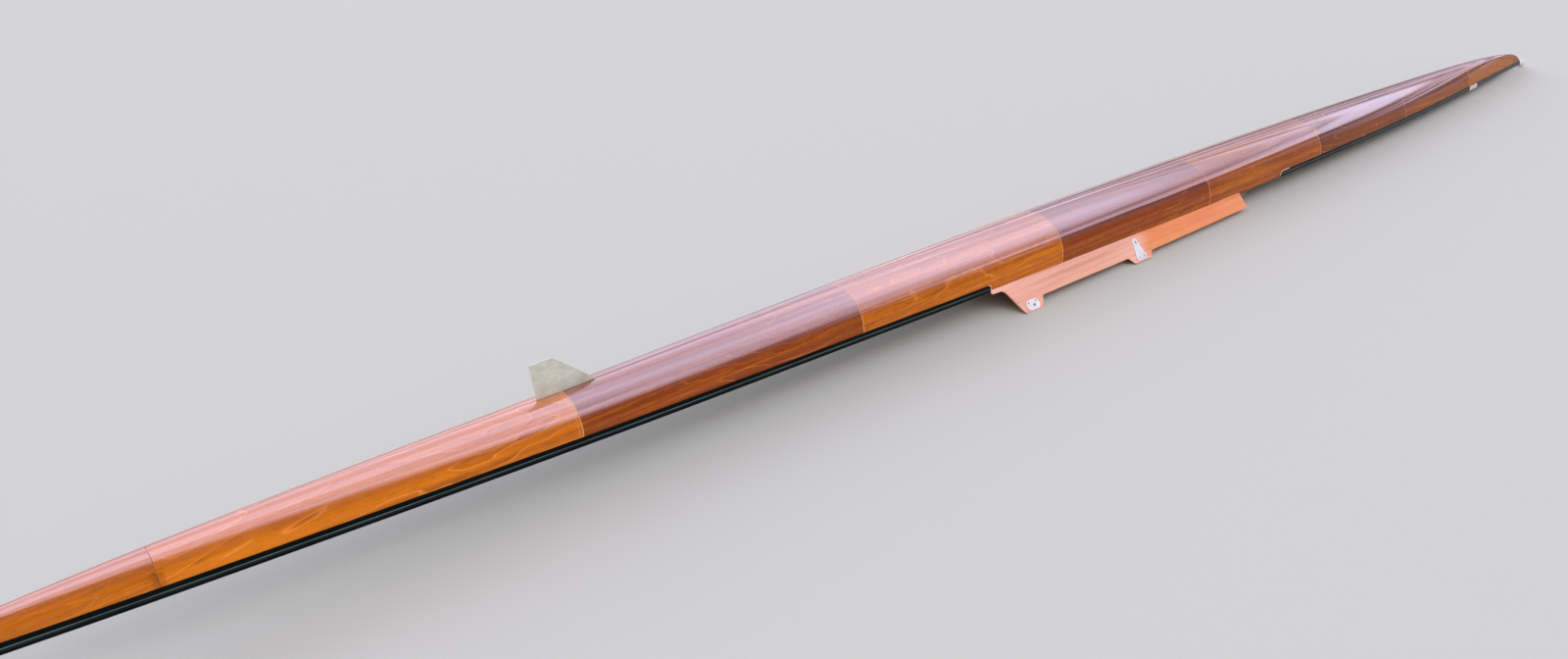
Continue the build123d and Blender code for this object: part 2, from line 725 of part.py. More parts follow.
# Parked: turned until the stern shoulders and the bow ball both touch the ground
rest = SHOULDERS["stern"]
rest_x = cockpit_stern + rest.centre
park_turn = atan2(ball_height - ball_radius - drop(rest.tip), stem_end + ball_reach - rest_x)
turn = Rotation(0, degrees(park_turn), 0)
boxes = [piece.moved(turn).bounding_box() for piece in pieces]
low = [min(tuple(box.min)[axis] for box in boxes) for axis in range(3)]
high = [max(tuple(box.max)[axis] for box in boxes) for axis in range(3)]
ground = Location((-(low[0] + high[0]) / 2, -(low[1] + high[1]) / 2, -low[2]))
for piece in pieces:
    placed = piece.moved(ground * turn)
    placed.label = piece.label
    export_step(placed, f"parts/{piece.label}.step")
print("length, beam and height", [round(b - a, 1) for a, b in zip(low, high)])
print("pieces", len(pieces))
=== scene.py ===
# %% [markdown]
# # A racing single scull, parked keel up
# The hull of such a boat is a skin of mahogany veneer, three millimetres thick and glossy with varnish.
# Nearly all that one sees is that skin, so its form comes first here and then its wood. Black strips
# run along its edges, flared boards stand at the cockpit, and a thin metal fin sits on the keel.

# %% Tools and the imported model
from math import atan2, cos, pi, radians, sin

import bmesh
import bpy
import numpy as np
from mathutils import Matrix, Vector


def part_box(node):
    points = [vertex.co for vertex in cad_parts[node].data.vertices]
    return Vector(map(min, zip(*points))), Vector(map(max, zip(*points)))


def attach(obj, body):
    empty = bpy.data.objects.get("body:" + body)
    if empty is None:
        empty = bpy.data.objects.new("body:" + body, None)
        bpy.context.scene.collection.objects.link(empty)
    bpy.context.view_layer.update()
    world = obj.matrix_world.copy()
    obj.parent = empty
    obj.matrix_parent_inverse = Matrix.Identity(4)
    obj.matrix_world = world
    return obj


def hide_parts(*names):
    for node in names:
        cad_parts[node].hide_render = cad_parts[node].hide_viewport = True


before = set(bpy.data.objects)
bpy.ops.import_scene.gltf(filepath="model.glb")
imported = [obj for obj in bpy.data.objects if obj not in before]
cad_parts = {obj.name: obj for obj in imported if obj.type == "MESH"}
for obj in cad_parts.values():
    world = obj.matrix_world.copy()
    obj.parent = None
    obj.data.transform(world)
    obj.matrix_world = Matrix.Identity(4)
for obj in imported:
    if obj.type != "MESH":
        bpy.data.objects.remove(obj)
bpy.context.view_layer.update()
millimetre = 0.001
print("nodes in the frame:", len(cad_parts))

# %% [markdown]
# ## Camera
# The photograph was taken from beside the stern, looking along the boat towards its bow and slightly
# down. A camera is set by its place, where it points and how long its lens is. Yaw is counted from
# straight across the boat towards the bow, and pitch is how far it looks down.

# %% Camera
camera_place = Vector((-3.82737, -2.20665, 1.54451))
camera_yaw, camera_pitch, camera_roll = radians(41.640), radians(25.190), radians(-0.513)
lens = 26.34


def new_object(name, data):
    """Object in the scene that holds the given camera, light or mesh."""
    thing = bpy.data.objects.new(name, data)
    bpy.context.scene.collection.objects.link(thing)
    return thing


def aim(yaw, pitch, roll):
    """Turn of a camera: its -Z axis looks yaw from +Y towards +X and pitch below level, then it rolls."""
    forward = Vector((sin(yaw) * cos(pitch), cos(yaw) * cos(pitch), -sin(pitch)))
    right = Vector((cos(yaw), -sin(yaw), 0.0))
    up = right.cross(forward)
    level_right = right * cos(roll) + up * sin(roll)
    level_up = level_right.cross(forward)
    return Matrix((level_right, level_up, -forward)).transposed()


camera_data = bpy.data.cameras.new("camera")
camera_data.lens = lens
camera_data.sensor_width = 36.0
camera = new_object("camera", camera_data)
camera.matrix_world = Matrix.Translation(camera_place) @ aim(camera_yaw, camera_pitch, camera_roll).to_4x4()
bpy.context.scene.camera = camera
print("camera:", lens, "mm lens,", round(camera_place.z, 2), "m above the floor")

# %% [markdown]
# ## Shader helpers
# Every finish below is a small network of shader nodes. One function opens the tree of a material, and
# another adds a node there and wires what it is given, so that a material reads like a sum.

# %% Nodes and their sockets
def start_nodes(owner):
    """Empty the nodes of a material or of the world; all nodes made from here on go there."""
    global tree
    owner.use_nodes = True
    tree = owner.node_tree
    tree.nodes.clear()
    return owner


def add(kind, inputs=(), **settings):
    """A node of the given kind. inputs maps a socket's name or number to a value or to another socket.

    A colour may be given as red, green and blue."""
    node = tree.nodes.new("ShaderNode" + kind)
    for key, value in settings.items():
        setattr(node, key, value)
    for key, value in dict(inputs).items():
        socket = node.inputs[key]
        if isinstance(value, bpy.types.NodeSocket):
            tree.links.new(value, socket)
        else:
            socket.default_value = (*value, 1.0) if socket.type == "RGBA" else value
    return node


def shader(colour, roughness, **sockets):
    """Principled shader as the surface of a material; in a socket's name _ stands for a space."""
    inputs = {name.replace("_", " "): value for name, value in sockets.items()}
    inputs.update({"Base Color": colour, "Roughness": roughness})
    node = add("BsdfPrincipled", inputs)
    add("OutputMaterial", {0: node.outputs[0]})


# %% Numbers
def math(operation, *values):
    """Result of a Math node."""
    return add("Math", dict(enumerate(values)), operation=operation).outputs[0]


def times(product, *factors):
    """Product of two or more numbers."""
    for factor in factors:
        product = math("MULTIPLY", product, factor)
    return product


def times_plus(value, factor, added):
    """value times factor plus added."""
    return math("MULTIPLY_ADD", value, factor, added)


def rest(share):
    """What a share leaves of one."""
    return math("SUBTRACT", 1.0, share)


def between(value, low, high, to_low=0.0, to_high=1.0):
    """Value mapped smoothly from low..high to to_low..to_high."""
    inputs = {0: value, 1: low, 2: high, 3: to_low, 4: to_high}
    return add("MapRange", inputs, interpolation_type="SMOOTHSTEP").outputs[0]


def blend(factor, first, second):
    """Mix of two numbers."""
    return add("Mix", {0: factor, 2: first, 3: second}).outputs[0]


# %% Patterns and colours
def attribute(name):
    """A number that the points of the mesh carry."""
    return add("Attribute", attribute_name=name).outputs["Fac"]


def stretched(vector, scale):
    """A coordinate multiplied along its three axes."""
    return add("VectorMath", {0: vector, 1: scale}, operation="MULTIPLY").outputs[0]


def noise(vector, scale, detail=2.0, rough=0.5, distortion=0.0):
    """Value of a noise texture, around 0.5. scale is one number, or one for each axis."""
    if isinstance(scale, tuple):
        vector, scale = stretched(vector, scale), 1.0
    inputs = {"Vector": vector, "Scale": scale, "Detail": detail, "Roughness": rough}
    inputs["Distortion"] = distortion
    return add("TexNoise", inputs).outputs[0]


def blend_colour(factor, first, second, mode="MIX"):
    """Mix of two colours."""
    inputs = {0: factor, 6: first, 7: second}
    return add("Mix", inputs, data_type="RGBA", blend_type=mode).outputs[2]


def ramp(factor, stops):
    """Colour ramp with stops of a position and a colour."""
    node = add("ValToRGB", {0: factor})
    elements = node.color_ramp.elements
    while len(elements) < len(stops):
        elements.new(0.5)
    for element, (position, colour) in zip(elements, stops):
        element.position = position
        element.color = (*colour, 1.0)
    return node.outputs[0]


def bump(height, distance):
    """Normal bent by a height in metres."""
    return add("Bump", {"Height": height, "Distance": distance}).outputs[0]


# %% [markdown]
# ## Floor and light
# A glossy hull shows what hangs over it. Its upper half mirrors a bright pale haze, and its side mirrors
# what is dark near the ground, which is what makes it look round and wet. A lamp could stand in for the
# sky, but a lamp has edges. So the world itself is a soft sky: dark near the ground, brightest in a
# broad ring of haze above it, more so on the far side, and dimmer overhead. A wide weak sun on the
# camera's side fills the shadows; it stays out of reflections, so the varnish stays clear.

# %% Floor
floor_size = 240.0
floor_colour = (0.62, 0.61, 0.60)
floor_mesh = bpy.data.meshes.new("floor")
reach = floor_size / 2
floor_corners = [(-reach, -reach, 0.0), (reach, -reach, 0.0), (reach, reach, 0.0), (-reach, reach, 0.0)]
floor_mesh.from_pydata(floor_corners, [], [(0, 1, 2, 3)])
floor = new_object("floor", floor_mesh)
material = start_nodes(bpy.data.materials.new("floor"))
shader(floor_colour, 0.9, Specular_IOR_Level=0.1)
floor_mesh.materials.append(material)
print("floor:", floor_size, "m across")

# %% Sky that lights the boat
ring_strength, zenith_strength, ground_strength = 1.30, 0.25, 0.12  # in the haze, above and below it
ring_edge, zenith_edge = (0.36, 0.50), (0.84, 0.95)  # sines of the heights at which each begins
sky_lean = Vector((0.12, 0.07, 1.0)).normalized()  # up, but a little to the bow and the far side
far_rise = 0.20  # how much lower the haze comes on the far side
wave_size, wave_depth = (3.0, 5.0, 9.0), 0.16  # its edge is uneven

bpy.context.scene.world = start_nodes(bpy.data.worlds.new("world"))
direction = add("TexCoord").outputs["Generated"]


def towards(axis):
    """How far a direction points along an axis, from -1 to 1."""
    return add("VectorMath", {0: direction, 1: tuple(axis)}, operation="DOT_PRODUCT").outputs["Value"]


far_side = math("MAXIMUM", towards((0.0, 1.0, 0.0)), 0.0)
height = times_plus(far_side, far_rise, towards(sky_lean))
wavy = times_plus(noise(direction, wave_size), wave_depth, -wave_depth / 2)
haze = between(math("ADD", height, wavy), *ring_edge)
overhead = between(height, *zenith_edge)
lit = between(overhead, 0.0, 1.0, ring_strength, zenith_strength)
lit = blend(haze, ground_strength, lit)
print("sky:", ring_strength, "in the haze,", zenith_strength, "overhead")

# %% [markdown]
# A real sky is far brighter in a mirror than a plain even light allows. So rays that come from varnish
# and metal meet a second, brighter haze. It starts higher on the camera's side, reaches lower towards
# the bow, and stays bright overhead. Above its lower edge it lies in thin layers, and higher up these
# give way to broad soft clouds.

# %% Sky that varnish and metal mirror
mirrored_ring, mirrored_zenith = 2.00, 2.35
mirrored_edge, mirrored_rise = (0.22, 0.54), (0.45, 0.85)  # where it begins, and where it brightens
mirrored_lean = Vector((0.45, 0.0, 1.0)).normalized()
near_drop = 0.38  # how much higher it begins on the near side
layer_size, layer_edge, layer_share = (1.5, 1.5, 15.0), (0.40, 0.62), (0.06, 0.95)
cloud_size, cloud_edge, cloud_share = (0.6, 1.8, 3.2), (0.36, 0.60), (0.62, 1.08)
layers_fade = (0.34, 0.60)  # sines of the heights where the layers end

near_side = math("MAXIMUM", towards((0.0, -1.0, 0.0)), 0.0)
mirrored_height = times_plus(far_side, far_rise, towards(mirrored_lean))
mirrored_height = times_plus(near_side, -near_drop, mirrored_height)
mirrored_haze = between(math("ADD", mirrored_height, wavy), *mirrored_edge)
layered = between(noise(direction, layer_size), *layer_edge, *layer_share)
clouded = between(noise(direction, cloud_size, detail=1.0), *cloud_edge, *cloud_share)
rising = between(towards((0.0, 0.0, 1.0)), *layers_fade)
share = blend(rising, times(layered, clouded), clouded)
mirrored = between(mirrored_height, *mirrored_rise, mirrored_ring, mirrored_zenith)
mirrored = blend(mirrored_haze, ground_strength, times(mirrored, share))
print("mirrored sky:", mirrored_ring, "in the haze,", mirrored_zenith, "overhead")

# %% Glow and world
glow_strength, glow_hidden = 1.00, 0.8  # added on the far side; the share that isn't mirrored
glow_axis = Vector((0.50, 0.80, 0.42)).normalized()
glow_edge, glow_foot = (0.50, 0.95), (0.14, 0.32)
sky_colour, mirrored_colour = (0.94, 0.96, 1.04), (0.90, 0.87, 1.18)
backdrop_colour, backdrop_strength = (0.68, 0.68, 0.70), 1.0  # what the camera sees behind the floor

glossy_ray = add("LightPath").outputs["Is Glossy Ray"]
camera_ray = add("LightPath").outputs["Is Camera Ray"]
glow = times(between(towards(glow_axis), *glow_edge), between(height, *glow_foot))
glow = times(glow, rest(overhead), rest(times(glossy_ray, glow_hidden)))
strength = times_plus(glow, glow_strength, blend(glossy_ray, lit, mirrored))
strength = blend(camera_ray, strength, backdrop_strength)
tint = blend_colour(glossy_ray, sky_colour, mirrored_colour)
tint = blend_colour(camera_ray, tint, backdrop_colour)
background = add("Background", {0: tint, 1: strength})
add("OutputWorld", {0: background.outputs[0]})
bpy.context.scene.view_settings.view_transform = "Standard"
print("glow from", [round(value, 2) for value in glow_axis], "backdrop:", backdrop_colour)

# %% Fill
fill_from = Vector((-0.25, -0.95, 0.42))
fill_data = bpy.data.lights.new("fill", "SUN")
fill_data.energy = 1.05
fill_data.angle = radians(80)
fill_data.color = (1.0, 0.90, 0.72)
fill = new_object("fill", fill_data)
fill.matrix_world = fill_from.to_track_quat("Z", "Y").to_matrix().to_4x4()
fill.visible_glossy = False
print("fill from", [round(value, 2) for value in fill_from.normalized()])

# %% [markdown]
# ## The lines of the hull
# A boat builder draws a hull as a few cross sections and lets smooth lines run through them. The table
# holds those sections: place, in panel pitches from the first seam, half of the beam, the height of the
# black strip's upper edge and the height of the keel, in millimetres. Between rows the lines are cubics.

# %% Lines
pitch = 0.940
LINES = np.array([
    (-0.60, 8.0, 121.0, 150.0),
    (0.00, 47.0, 116.0, 182.0),
    (1.00, 88.0, 108.5, 198.0),
    (2.00, 112.5, 104.5, 216.0),
    (3.00, 131.5, 101.5, 227.5),
    (4.00, 143.0, 101.0, 229.0),
    (5.00, 137.5, 102.5, 227.0),
    (6.00, 117.0, 104.0, 223.0),
    (7.00, 70.0, 106.5, 213.5),
    (7.50, 38.5, 105.5, 196.0),
    (7.87, 14.0, 104.0, 163.0),
    (7.97, 9.0, 103.5, 139.0),
    (8.05, 5.0, 103.0, 106.0),
])
LINES[:, 1:] *= millimetre
tail, sternpost_place, stem_place, nose = LINES[0, 0], -0.45, 7.87, LINES[-1, 0]


def cubic(t, start, end, slope_in, slope_out):
    """Cubic from start to end, as t goes from 0 to 1, with the given slopes at its ends."""
    value = (2 * t**3 - 3 * t**2 + 1) * start + (t**3 - 2 * t**2 + t) * slope_in
    return value + (3 * t**2 - 2 * t**3) * end + (t**3 - t**2) * slope_out


def lines_at(place):
    """Half beam, sheer and keel at each place.

    Between two rows each value is a cubic. Its slope at a row is that of the straight line between the
    row before and the row after."""
    place = np.asarray(place, float)
    row = np.clip(np.searchsorted(LINES[:, 0], place, side="right") - 1, 0, len(LINES) - 2)
    before, after = np.maximum(row - 1, 0), np.minimum(row + 2, len(LINES) - 1)
    start, end, earlier, later = LINES[row], LINES[row + 1], LINES[before], LINES[after]
    span = (end - start)[..., :1]
    slope_in = (end - earlier) / (end - earlier)[..., :1] * span
    slope_out = (later - start) / (later - start)[..., :1] * span
    value = cubic((place[..., None] - start[..., :1]) / span, start, end, slope_in, slope_out)
    return value[..., 1], value[..., 2], value[..., 3]


print("beam at seam 4:", round(2 * float(lines_at(4.0)[0]) / millimetre), "mm")

# %% Parking
# The ball at the bow touches the floor, and so do the stern shoulders, so the boat lies a little bow
# down. The turn is a number found from the ball and the shoulders of the imported model, and the ball
# says how far it is moved.
ball_radius = 0.022
ball_place = np.array([nose * pitch + 0.045, 0.0, 0.082])
ball_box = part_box("bow_ball")
ball_parked = np.array([ball_box[1].x - ball_radius, 0.0, ball_box[0].z + ball_radius])
park_turn = radians(0.72054)


def park(points):
    """Points of the level boat, moved to where it is parked: turned about Y, then shifted to the ball."""
    points = np.asarray(points, float) - ball_place
    x = points[..., 0] * cos(park_turn) + points[..., 2] * sin(park_turn)
    z = points[..., 2] * cos(park_turn) - points[..., 0] * sin(park_turn)
    return np.stack([x, points[..., 1], z], axis=-1) + ball_parked


print("ball of the packed model at", ball_parked.round(4))

# %% [markdown]
# ## Surfaces
# Every new piece is a grid of points worked out at once. A helper joins neighbouring points with
# four-sided faces, gives each corner its place on the unrolled sheet, and closes the ends if asked.

# %% Surface helper
def grid_corners(rows, columns, ring):
    """Numbers of the four corners of each face of a grid; a ring joins its last column to its first."""
    row = np.arange(rows - 1)[:, None]
    column = np.arange(columns if ring else columns - 1)[None, :]
    following = (column + 1) % columns
    corners = [row * columns + column, row * columns + following]
    corners += [(row + 1) * columns + following, (row + 1) * columns + column]
    return np.stack([corner.ravel() for corner in np.broadcast_arrays(*corners)], axis=1)


def surface(name, points, sheet=None, closed=False, values=(), inside_out=False):
    """Mesh object of a grid of points [rows, columns, 3], in the row frame.

    A closed one joins its last column to its first and has one face over each end. sheet holds two
    coordinates in metres for each point, with one more column if it is closed. values are named
    numbers per point."""
    rows, columns = points.shape[:2]
    order = -1 if inside_out else 1
    faces = grid_corners(rows, columns, closed)[:, ::order]
    loops = [faces.ravel()]
    starts = list(range(0, faces.size, 4))
    if closed:
        first = np.arange(columns)
        for cap in (first, first[::-1] + (rows - 1) * columns):
            starts.append(sum(len(loop) for loop in loops))
            loops.append(cap[::order])
    corners = np.concatenate(loops)
    mesh = bpy.data.meshes.new(name)
    mesh.vertices.add(rows * columns)
    mesh.vertices.foreach_set("co", points.reshape(-1).astype(np.float32))
    mesh.loops.add(len(corners))
    mesh.loops.foreach_set("vertex_index", corners.astype(np.int32))
    mesh.polygons.add(len(starts))
    mesh.polygons.foreach_set("loop_start", np.array(starts, np.int32))
    mesh.polygons.foreach_set("use_smooth", np.full(len(starts), True))
    mesh.update(calc_edges=True)
    if sheet is not None:
        unrolled = grid_corners(rows, sheet.shape[1], False)[:, ::order]
        uv = np.zeros((len(corners), 2), np.float32)
        uv[: unrolled.size] = sheet.reshape(-1, 2)[unrolled.ravel()]
        mesh.uv_layers.new(name="sheet").data.foreach_set("uv", uv.ravel())
    for key, value in dict(values).items():
        everywhere = np.broadcast_to(value, (rows, columns)).astype(np.float32)
        mesh.attributes.new(key, "FLOAT", "POINT").data.foreach_set("value", everywhere.ravel())
    return new_object(name, mesh)


def dress(piece, materials, body="boat", replaced=()):
    """Give a finished piece its materials, its body and the nodes that it stands for."""
    piece.data.materials.clear()
    for material in materials:
        piece.data.materials.append(material)
    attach(piece, body)
    if replaced:
        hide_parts(*replaced)


def dense_ends(start, end, step, narrow):
    """Places from start to end about a step apart, with two more close to each end."""
    middle = np.linspace(start, end, max(int(round((end - start) / step)), 2) + 1)
    return np.concatenate([[start, start + narrow], middle[1:-1], [end - narrow, end]])


def round_turn(columns):
    """Angles once round, without the last, which is the first again."""
    return np.linspace(0, 2 * pi, columns + 1)[:-1]


# %% [markdown]
# ## Veneer
# Mahogany peeled or sliced into veneer shows three things at once. Broad streaks run the length of the
# sheet, fine pores lie in them like short scratches, and where the knife passed through the curved
# rings of the trunk there are long pointed loops. The loops are the contour lines of a soft, stretched
# noise, laid over a shallow valley that follows the sheet. Everything reads the unrolled sheet, so the
# grain bends with the hull.

# %% Figure of the wood
streak_share, cloud_share, band_share, mottle_share = 0.70, 0.32, 0.28, 0.26


def wood_figure(place, valley, loops):
    """Brightness of the wood around 0, and how much of a growth ring's pale edge shows.

    Rings are whole steps of a height: wandering noise plus the square of the distance from the middle
    of the cut. Inside a ring the wood darkens slowly and then jumps, as early wood meets late wood."""
    wander = noise(place, (1.5, 7.0, 1.0), detail=4.0, rough=0.42, distortion=0.25)
    ring = math("FRACT", math("ADD", times(wander, 12.0), times(valley, 60.0)))
    streaks = noise(place, (0.9, 75.0, 1.0), detail=5.0, rough=0.62)
    bands = noise(place, (0.35, 16.0, 1.0))
    clouds = noise(place, (1.6, 4.2, 1.0), detail=3.0, rough=0.55)
    mottle = noise(place, (22.0, 60.0, 1.0), detail=3.0, rough=0.6, distortion=1.4)
    value = times_plus(streaks, streak_share, times(clouds, cloud_share))
    value = times_plus(bands, band_share, value)
    value = times_plus(mottle, mottle_share, value)
    middle = 0.5 * (streak_share + cloud_share + band_share + mottle_share)
    value = math("SUBTRACT", value, middle)
    where = times(between(times_plus(loops, 0.14, clouds), 0.50, 0.62), loops)
    value = times_plus(times(ring, -0.07), where, value)
    rise, fall = between(ring, 0.93, 0.98), between(ring, 0.0, 0.05, 1.0, 0.0)
    edge = math("MAXIMUM", times(rise, 0.7), fall)
    return value, times(edge, times(where, 0.60))


# %% [markdown]
# Where two sheets meet, the joint was filled with a pale paste that shows as a thin line. One joint has
# lost its paste: it is a dark ragged line, strongest low on the side, with stained wood around it.

# %% Seams
open_line, open_stain, filler = (0.035, 0.008, 0.002), (0.15, 0.026, 0.001), (0.93, 0.46, 0.17)
second_line = 0.0095


def with_seams(colour, place, gloss):
    """Colour with the lines of a joint over it. The attribute seam is the distance to it in metres.

    filled is 1 at a pale joint and 0 at the dark one. twice adds a second line beside the first."""
    gap, filled, twice = (attribute(name) for name in ("seam", "filled", "twice"))
    ragged = noise(place, (60.0, 60.0, 1.0))
    wide = times_plus(ragged, 0.007, math("SUBTRACT", gap, 0.0036))
    dark_line = times(between(wide, -0.0006, 0.0012, 1.0, 0.0), 0.80, rest(filled))
    dark_line = times(dark_line, times_plus(gloss, -0.55, 1.0))
    colour = blend_colour(dark_line, colour, open_line)
    spread = times_plus(ragged, 0.030, gap)
    stain = times(between(spread, 0.015, 0.034, 0.50, 0.0), rest(filled))
    colour = blend_colour(times(stain, rest(gloss)), colour, open_stain)
    first = between(gap, 0.0011, 0.0021, 1.0, 0.0)
    from_second = math("ABSOLUTE", math("SUBTRACT", gap, second_line))
    second = times(between(from_second, 0.0004, 0.0013, 0.7, 0.0), twice)
    line = times(math("MAXIMUM", first, second), filled, 0.80)
    return blend_colour(line, colour, filler)


# %% Varnished veneer
# Higher than that of real varnish, because the plain sky here is dimmer than a real one
varnish_index = 2.35
veneer_dark, veneer_middle = (0.085, 0.012, 0.0005), (0.33, 0.062, 0.001)
veneer_bright, veneer_brown = (0.78, 0.212, 0.0015), (0.30, 0.088, 0.004)
veneer_golden = tuple(1.22 * c for c in veneer_bright)
veneer_pale_brown = tuple(1.9 * c for c in veneer_brown)
ring_pale = tuple(min(1.0, 1.25 * c + 0.06) for c in veneer_bright)


def varnished_veneer(name, seams=True):
    """Veneer under gloss varnish.

    Colour: the figure of the sheet, shifted by the sheet's own tone from dark to bright and by its
    brown share from orange to brown. The varnish is as strong as the attribute gloss says."""
    material = start_nodes(bpy.data.materials.new(name))
    sheet = add("UVMap", uv_map="sheet").outputs[0]
    names = ("number", "tone", "brown", "loops", "gloss")
    number, tone, brownness, loops, gloss = (attribute(key) for key in names)
    apart = add("CombineXYZ", {0: number, 1: number, 2: number}).outputs[0]
    moved = stretched(apart, (3.1, 1.7, 5.3))
    place = add("VectorMath", {0: sheet, 1: moved}, operation="ADD").outputs[0]
    middle_line = times(math("SINE", times(number, 2.4)), 0.10)
    around = add("SeparateXYZ", {0: sheet}).outputs[1]
    offset = math("SUBTRACT", around, middle_line)
    value, edge = wood_figure(place, times(offset, offset), loops)

    value = math("ADD", value, tone)
    orange = [(0.12, veneer_dark), (0.48, veneer_middle), (0.82, veneer_bright), (1.0, veneer_golden)]
    browned = [(0.12, veneer_dark), (0.48, veneer_brown), (0.95, veneer_pale_brown)]
    colour = blend_colour(brownness, ramp(value, orange), ramp(value, browned))
    pores = noise(place, (30.0, 950.0, 1.0), rough=0.6)
    colour = blend_colour(times(between(pores, 0.60, 0.72), 0.32), colour, veneer_dark)
    colour = blend_colour(edge, colour, ring_pale)
    if seams:
        colour = with_seams(colour, place, gloss)
    normal = bump(noise(place, (1.4, 22.0, 1.0)), 0.0004)
    shader(
        colour, 0.42, Specular_IOR_Level=0.10, Normal=normal, Coat_Normal=normal,
        Coat_Weight=gloss, Coat_Roughness=0.03, Coat_IOR=varnish_index, Coat_Tint=(0.84, 0.78, 0.62),
    )
    return material


veneer = varnished_veneer("veneer")
end_wood = varnished_veneer("end_wood", seams=False)
print("finishes of the skin:", veneer.name, end_wood.name)

# %% [markdown]
# ## Skin
# A section of the skin is drawn with three arcs. The side starts straight up at the strip and bends
# inwards on a small or large radius, and the keel arc meets it where both run the same way. Walking up
# the section, the direction in which the surface faces turns steadily from level to straight up, so
# that direction is the second parameter, beside the place along the boat.

# %% Hull surface
skin = 0.003
strip_height = 0.024
sheer_at = 0.92  # where the sheer lies between the keel, 0, and the skin's lower edge, 1
fullness = 2.0  # how much further up the side arc runs where a section is wider than deep


def hull_surface(place, across, beam_share=1.0):
    """Points of the hull's outer face for places along the boat and across from -1 to 1.

    From the keel to the sheer the facing turns from up to level; past the sheer the skin runs straight
    down behind the strip. Side arc: y = b - r1 (1 - cos f), z = r1 sin f. Keel arc: y = r2 cos f,
    z = D - r2 (1 - sin f). Both radii follow from where the arcs meet."""
    half_beam, sheer, keel = lines_at(place[:, None])
    half_beam = half_beam * np.reshape(beam_share, (-1, 1))
    depth = keel - sheer
    turn = np.arctan2(half_beam, depth)
    turn = np.where(half_beam > depth, turn + fullness * (turn - pi / 4), turn)
    share = 1 - np.sin(turn) - np.cos(turn)
    side_radius = (half_beam * (1 - np.sin(turn)) - depth * np.cos(turn)) / share
    keel_radius = ((1 - np.cos(turn)) * depth - np.sin(turn) * half_beam) / share
    size = np.abs(across)[None, :]
    facing = np.clip(1 - size / sheer_at, 0, 1) * pi / 2
    on_side = facing <= turn
    side_y = half_beam - side_radius * (1 - np.cos(facing))
    y = np.where(on_side, side_y, keel_radius * np.cos(facing))
    z = np.where(on_side, side_radius * np.sin(facing), depth - keel_radius * (1 - np.sin(facing)))
    z = z + sheer - strip_height * np.clip((size - sheer_at) / (1 - sheer_at), 0, 1)
    return np.stack(np.broadcast_arrays(place[:, None] * pitch, y * np.sign(across)[None, :], z), axis=-1)


def girth(points):
    """Distance walked along each row of points, zero at its middle."""
    steps = np.linalg.norm(np.diff(points, axis=1), axis=2)
    walked = np.concatenate([np.zeros((len(points), 1)), np.cumsum(steps, axis=1)], axis=1)
    return walked - walked[:, -1:] / 2


def unrolled_sheet(points):
    """Place of each point on the flat sheet: along the boat, and around its section."""
    return np.stack([points[..., 0], girth(points)], axis=-1)


across = np.concatenate([[-1.0, -0.96], np.linspace(-sheer_at, sheer_at, 93), [0.96, 1.0]])
middle_girth = girth(hull_surface(np.array([4.0]), across))[0]
print("girth at seam 4:", round(2 * middle_girth[-1] / millimetre), "mm")

# %% Varnish and thickness
rubbed_gloss = 0.12
rubbed_below, gloss_above = 16.0, 30.0  # degrees by which the skin faces up


def varnish_gloss(across):
    """Share of full gloss: high where the skin faces the sky, scuffed down where hands carry the boat."""
    facing = np.clip(1 - np.abs(across) / sheer_at, 0, 1) * 90.0
    share = np.clip((facing - rubbed_below) / (gloss_above - rubbed_below), 0, 1)
    return (rubbed_gloss + (1 - rubbed_gloss) * share**2 * (3 - 2 * share))[None, :]


def thicken(piece, thickness, inner_slot=0):
    """Give a sheet its thickness on the inner side; the inner face may take another material."""
    modifier = piece.modifiers.new("thickness", "SOLIDIFY")
    modifier.thickness = thickness
    modifier.offset = -1.0
    modifier.use_even_offset = True
    modifier.use_rim = True
    modifier.material_offset = inner_slot


gloss_across = varnish_gloss(across)
print("gloss from", gloss_across.min().round(2), "to", gloss_across.max().round(2))

# %% [markdown]
# ## Wood that isn't veneer
# The frames, boards and bulkheads are sawn wood. Its streaks run along the piece, so the finish reads
# Object coordinates, which stay with the piece, drawn out along the grain. A thin satin varnish lies
# over it, and a glossy one over the flared boards. The inside of the skin is the same veneer without
# its gloss.

# %% Sawn wood
dull_over = 0.10  # metres over which the varnish goes from glossy to dull
# Multiplies the colour past the edge: a painted shade towards the bow
painted_shade_tint = (0.95, 0.66, 0.28)


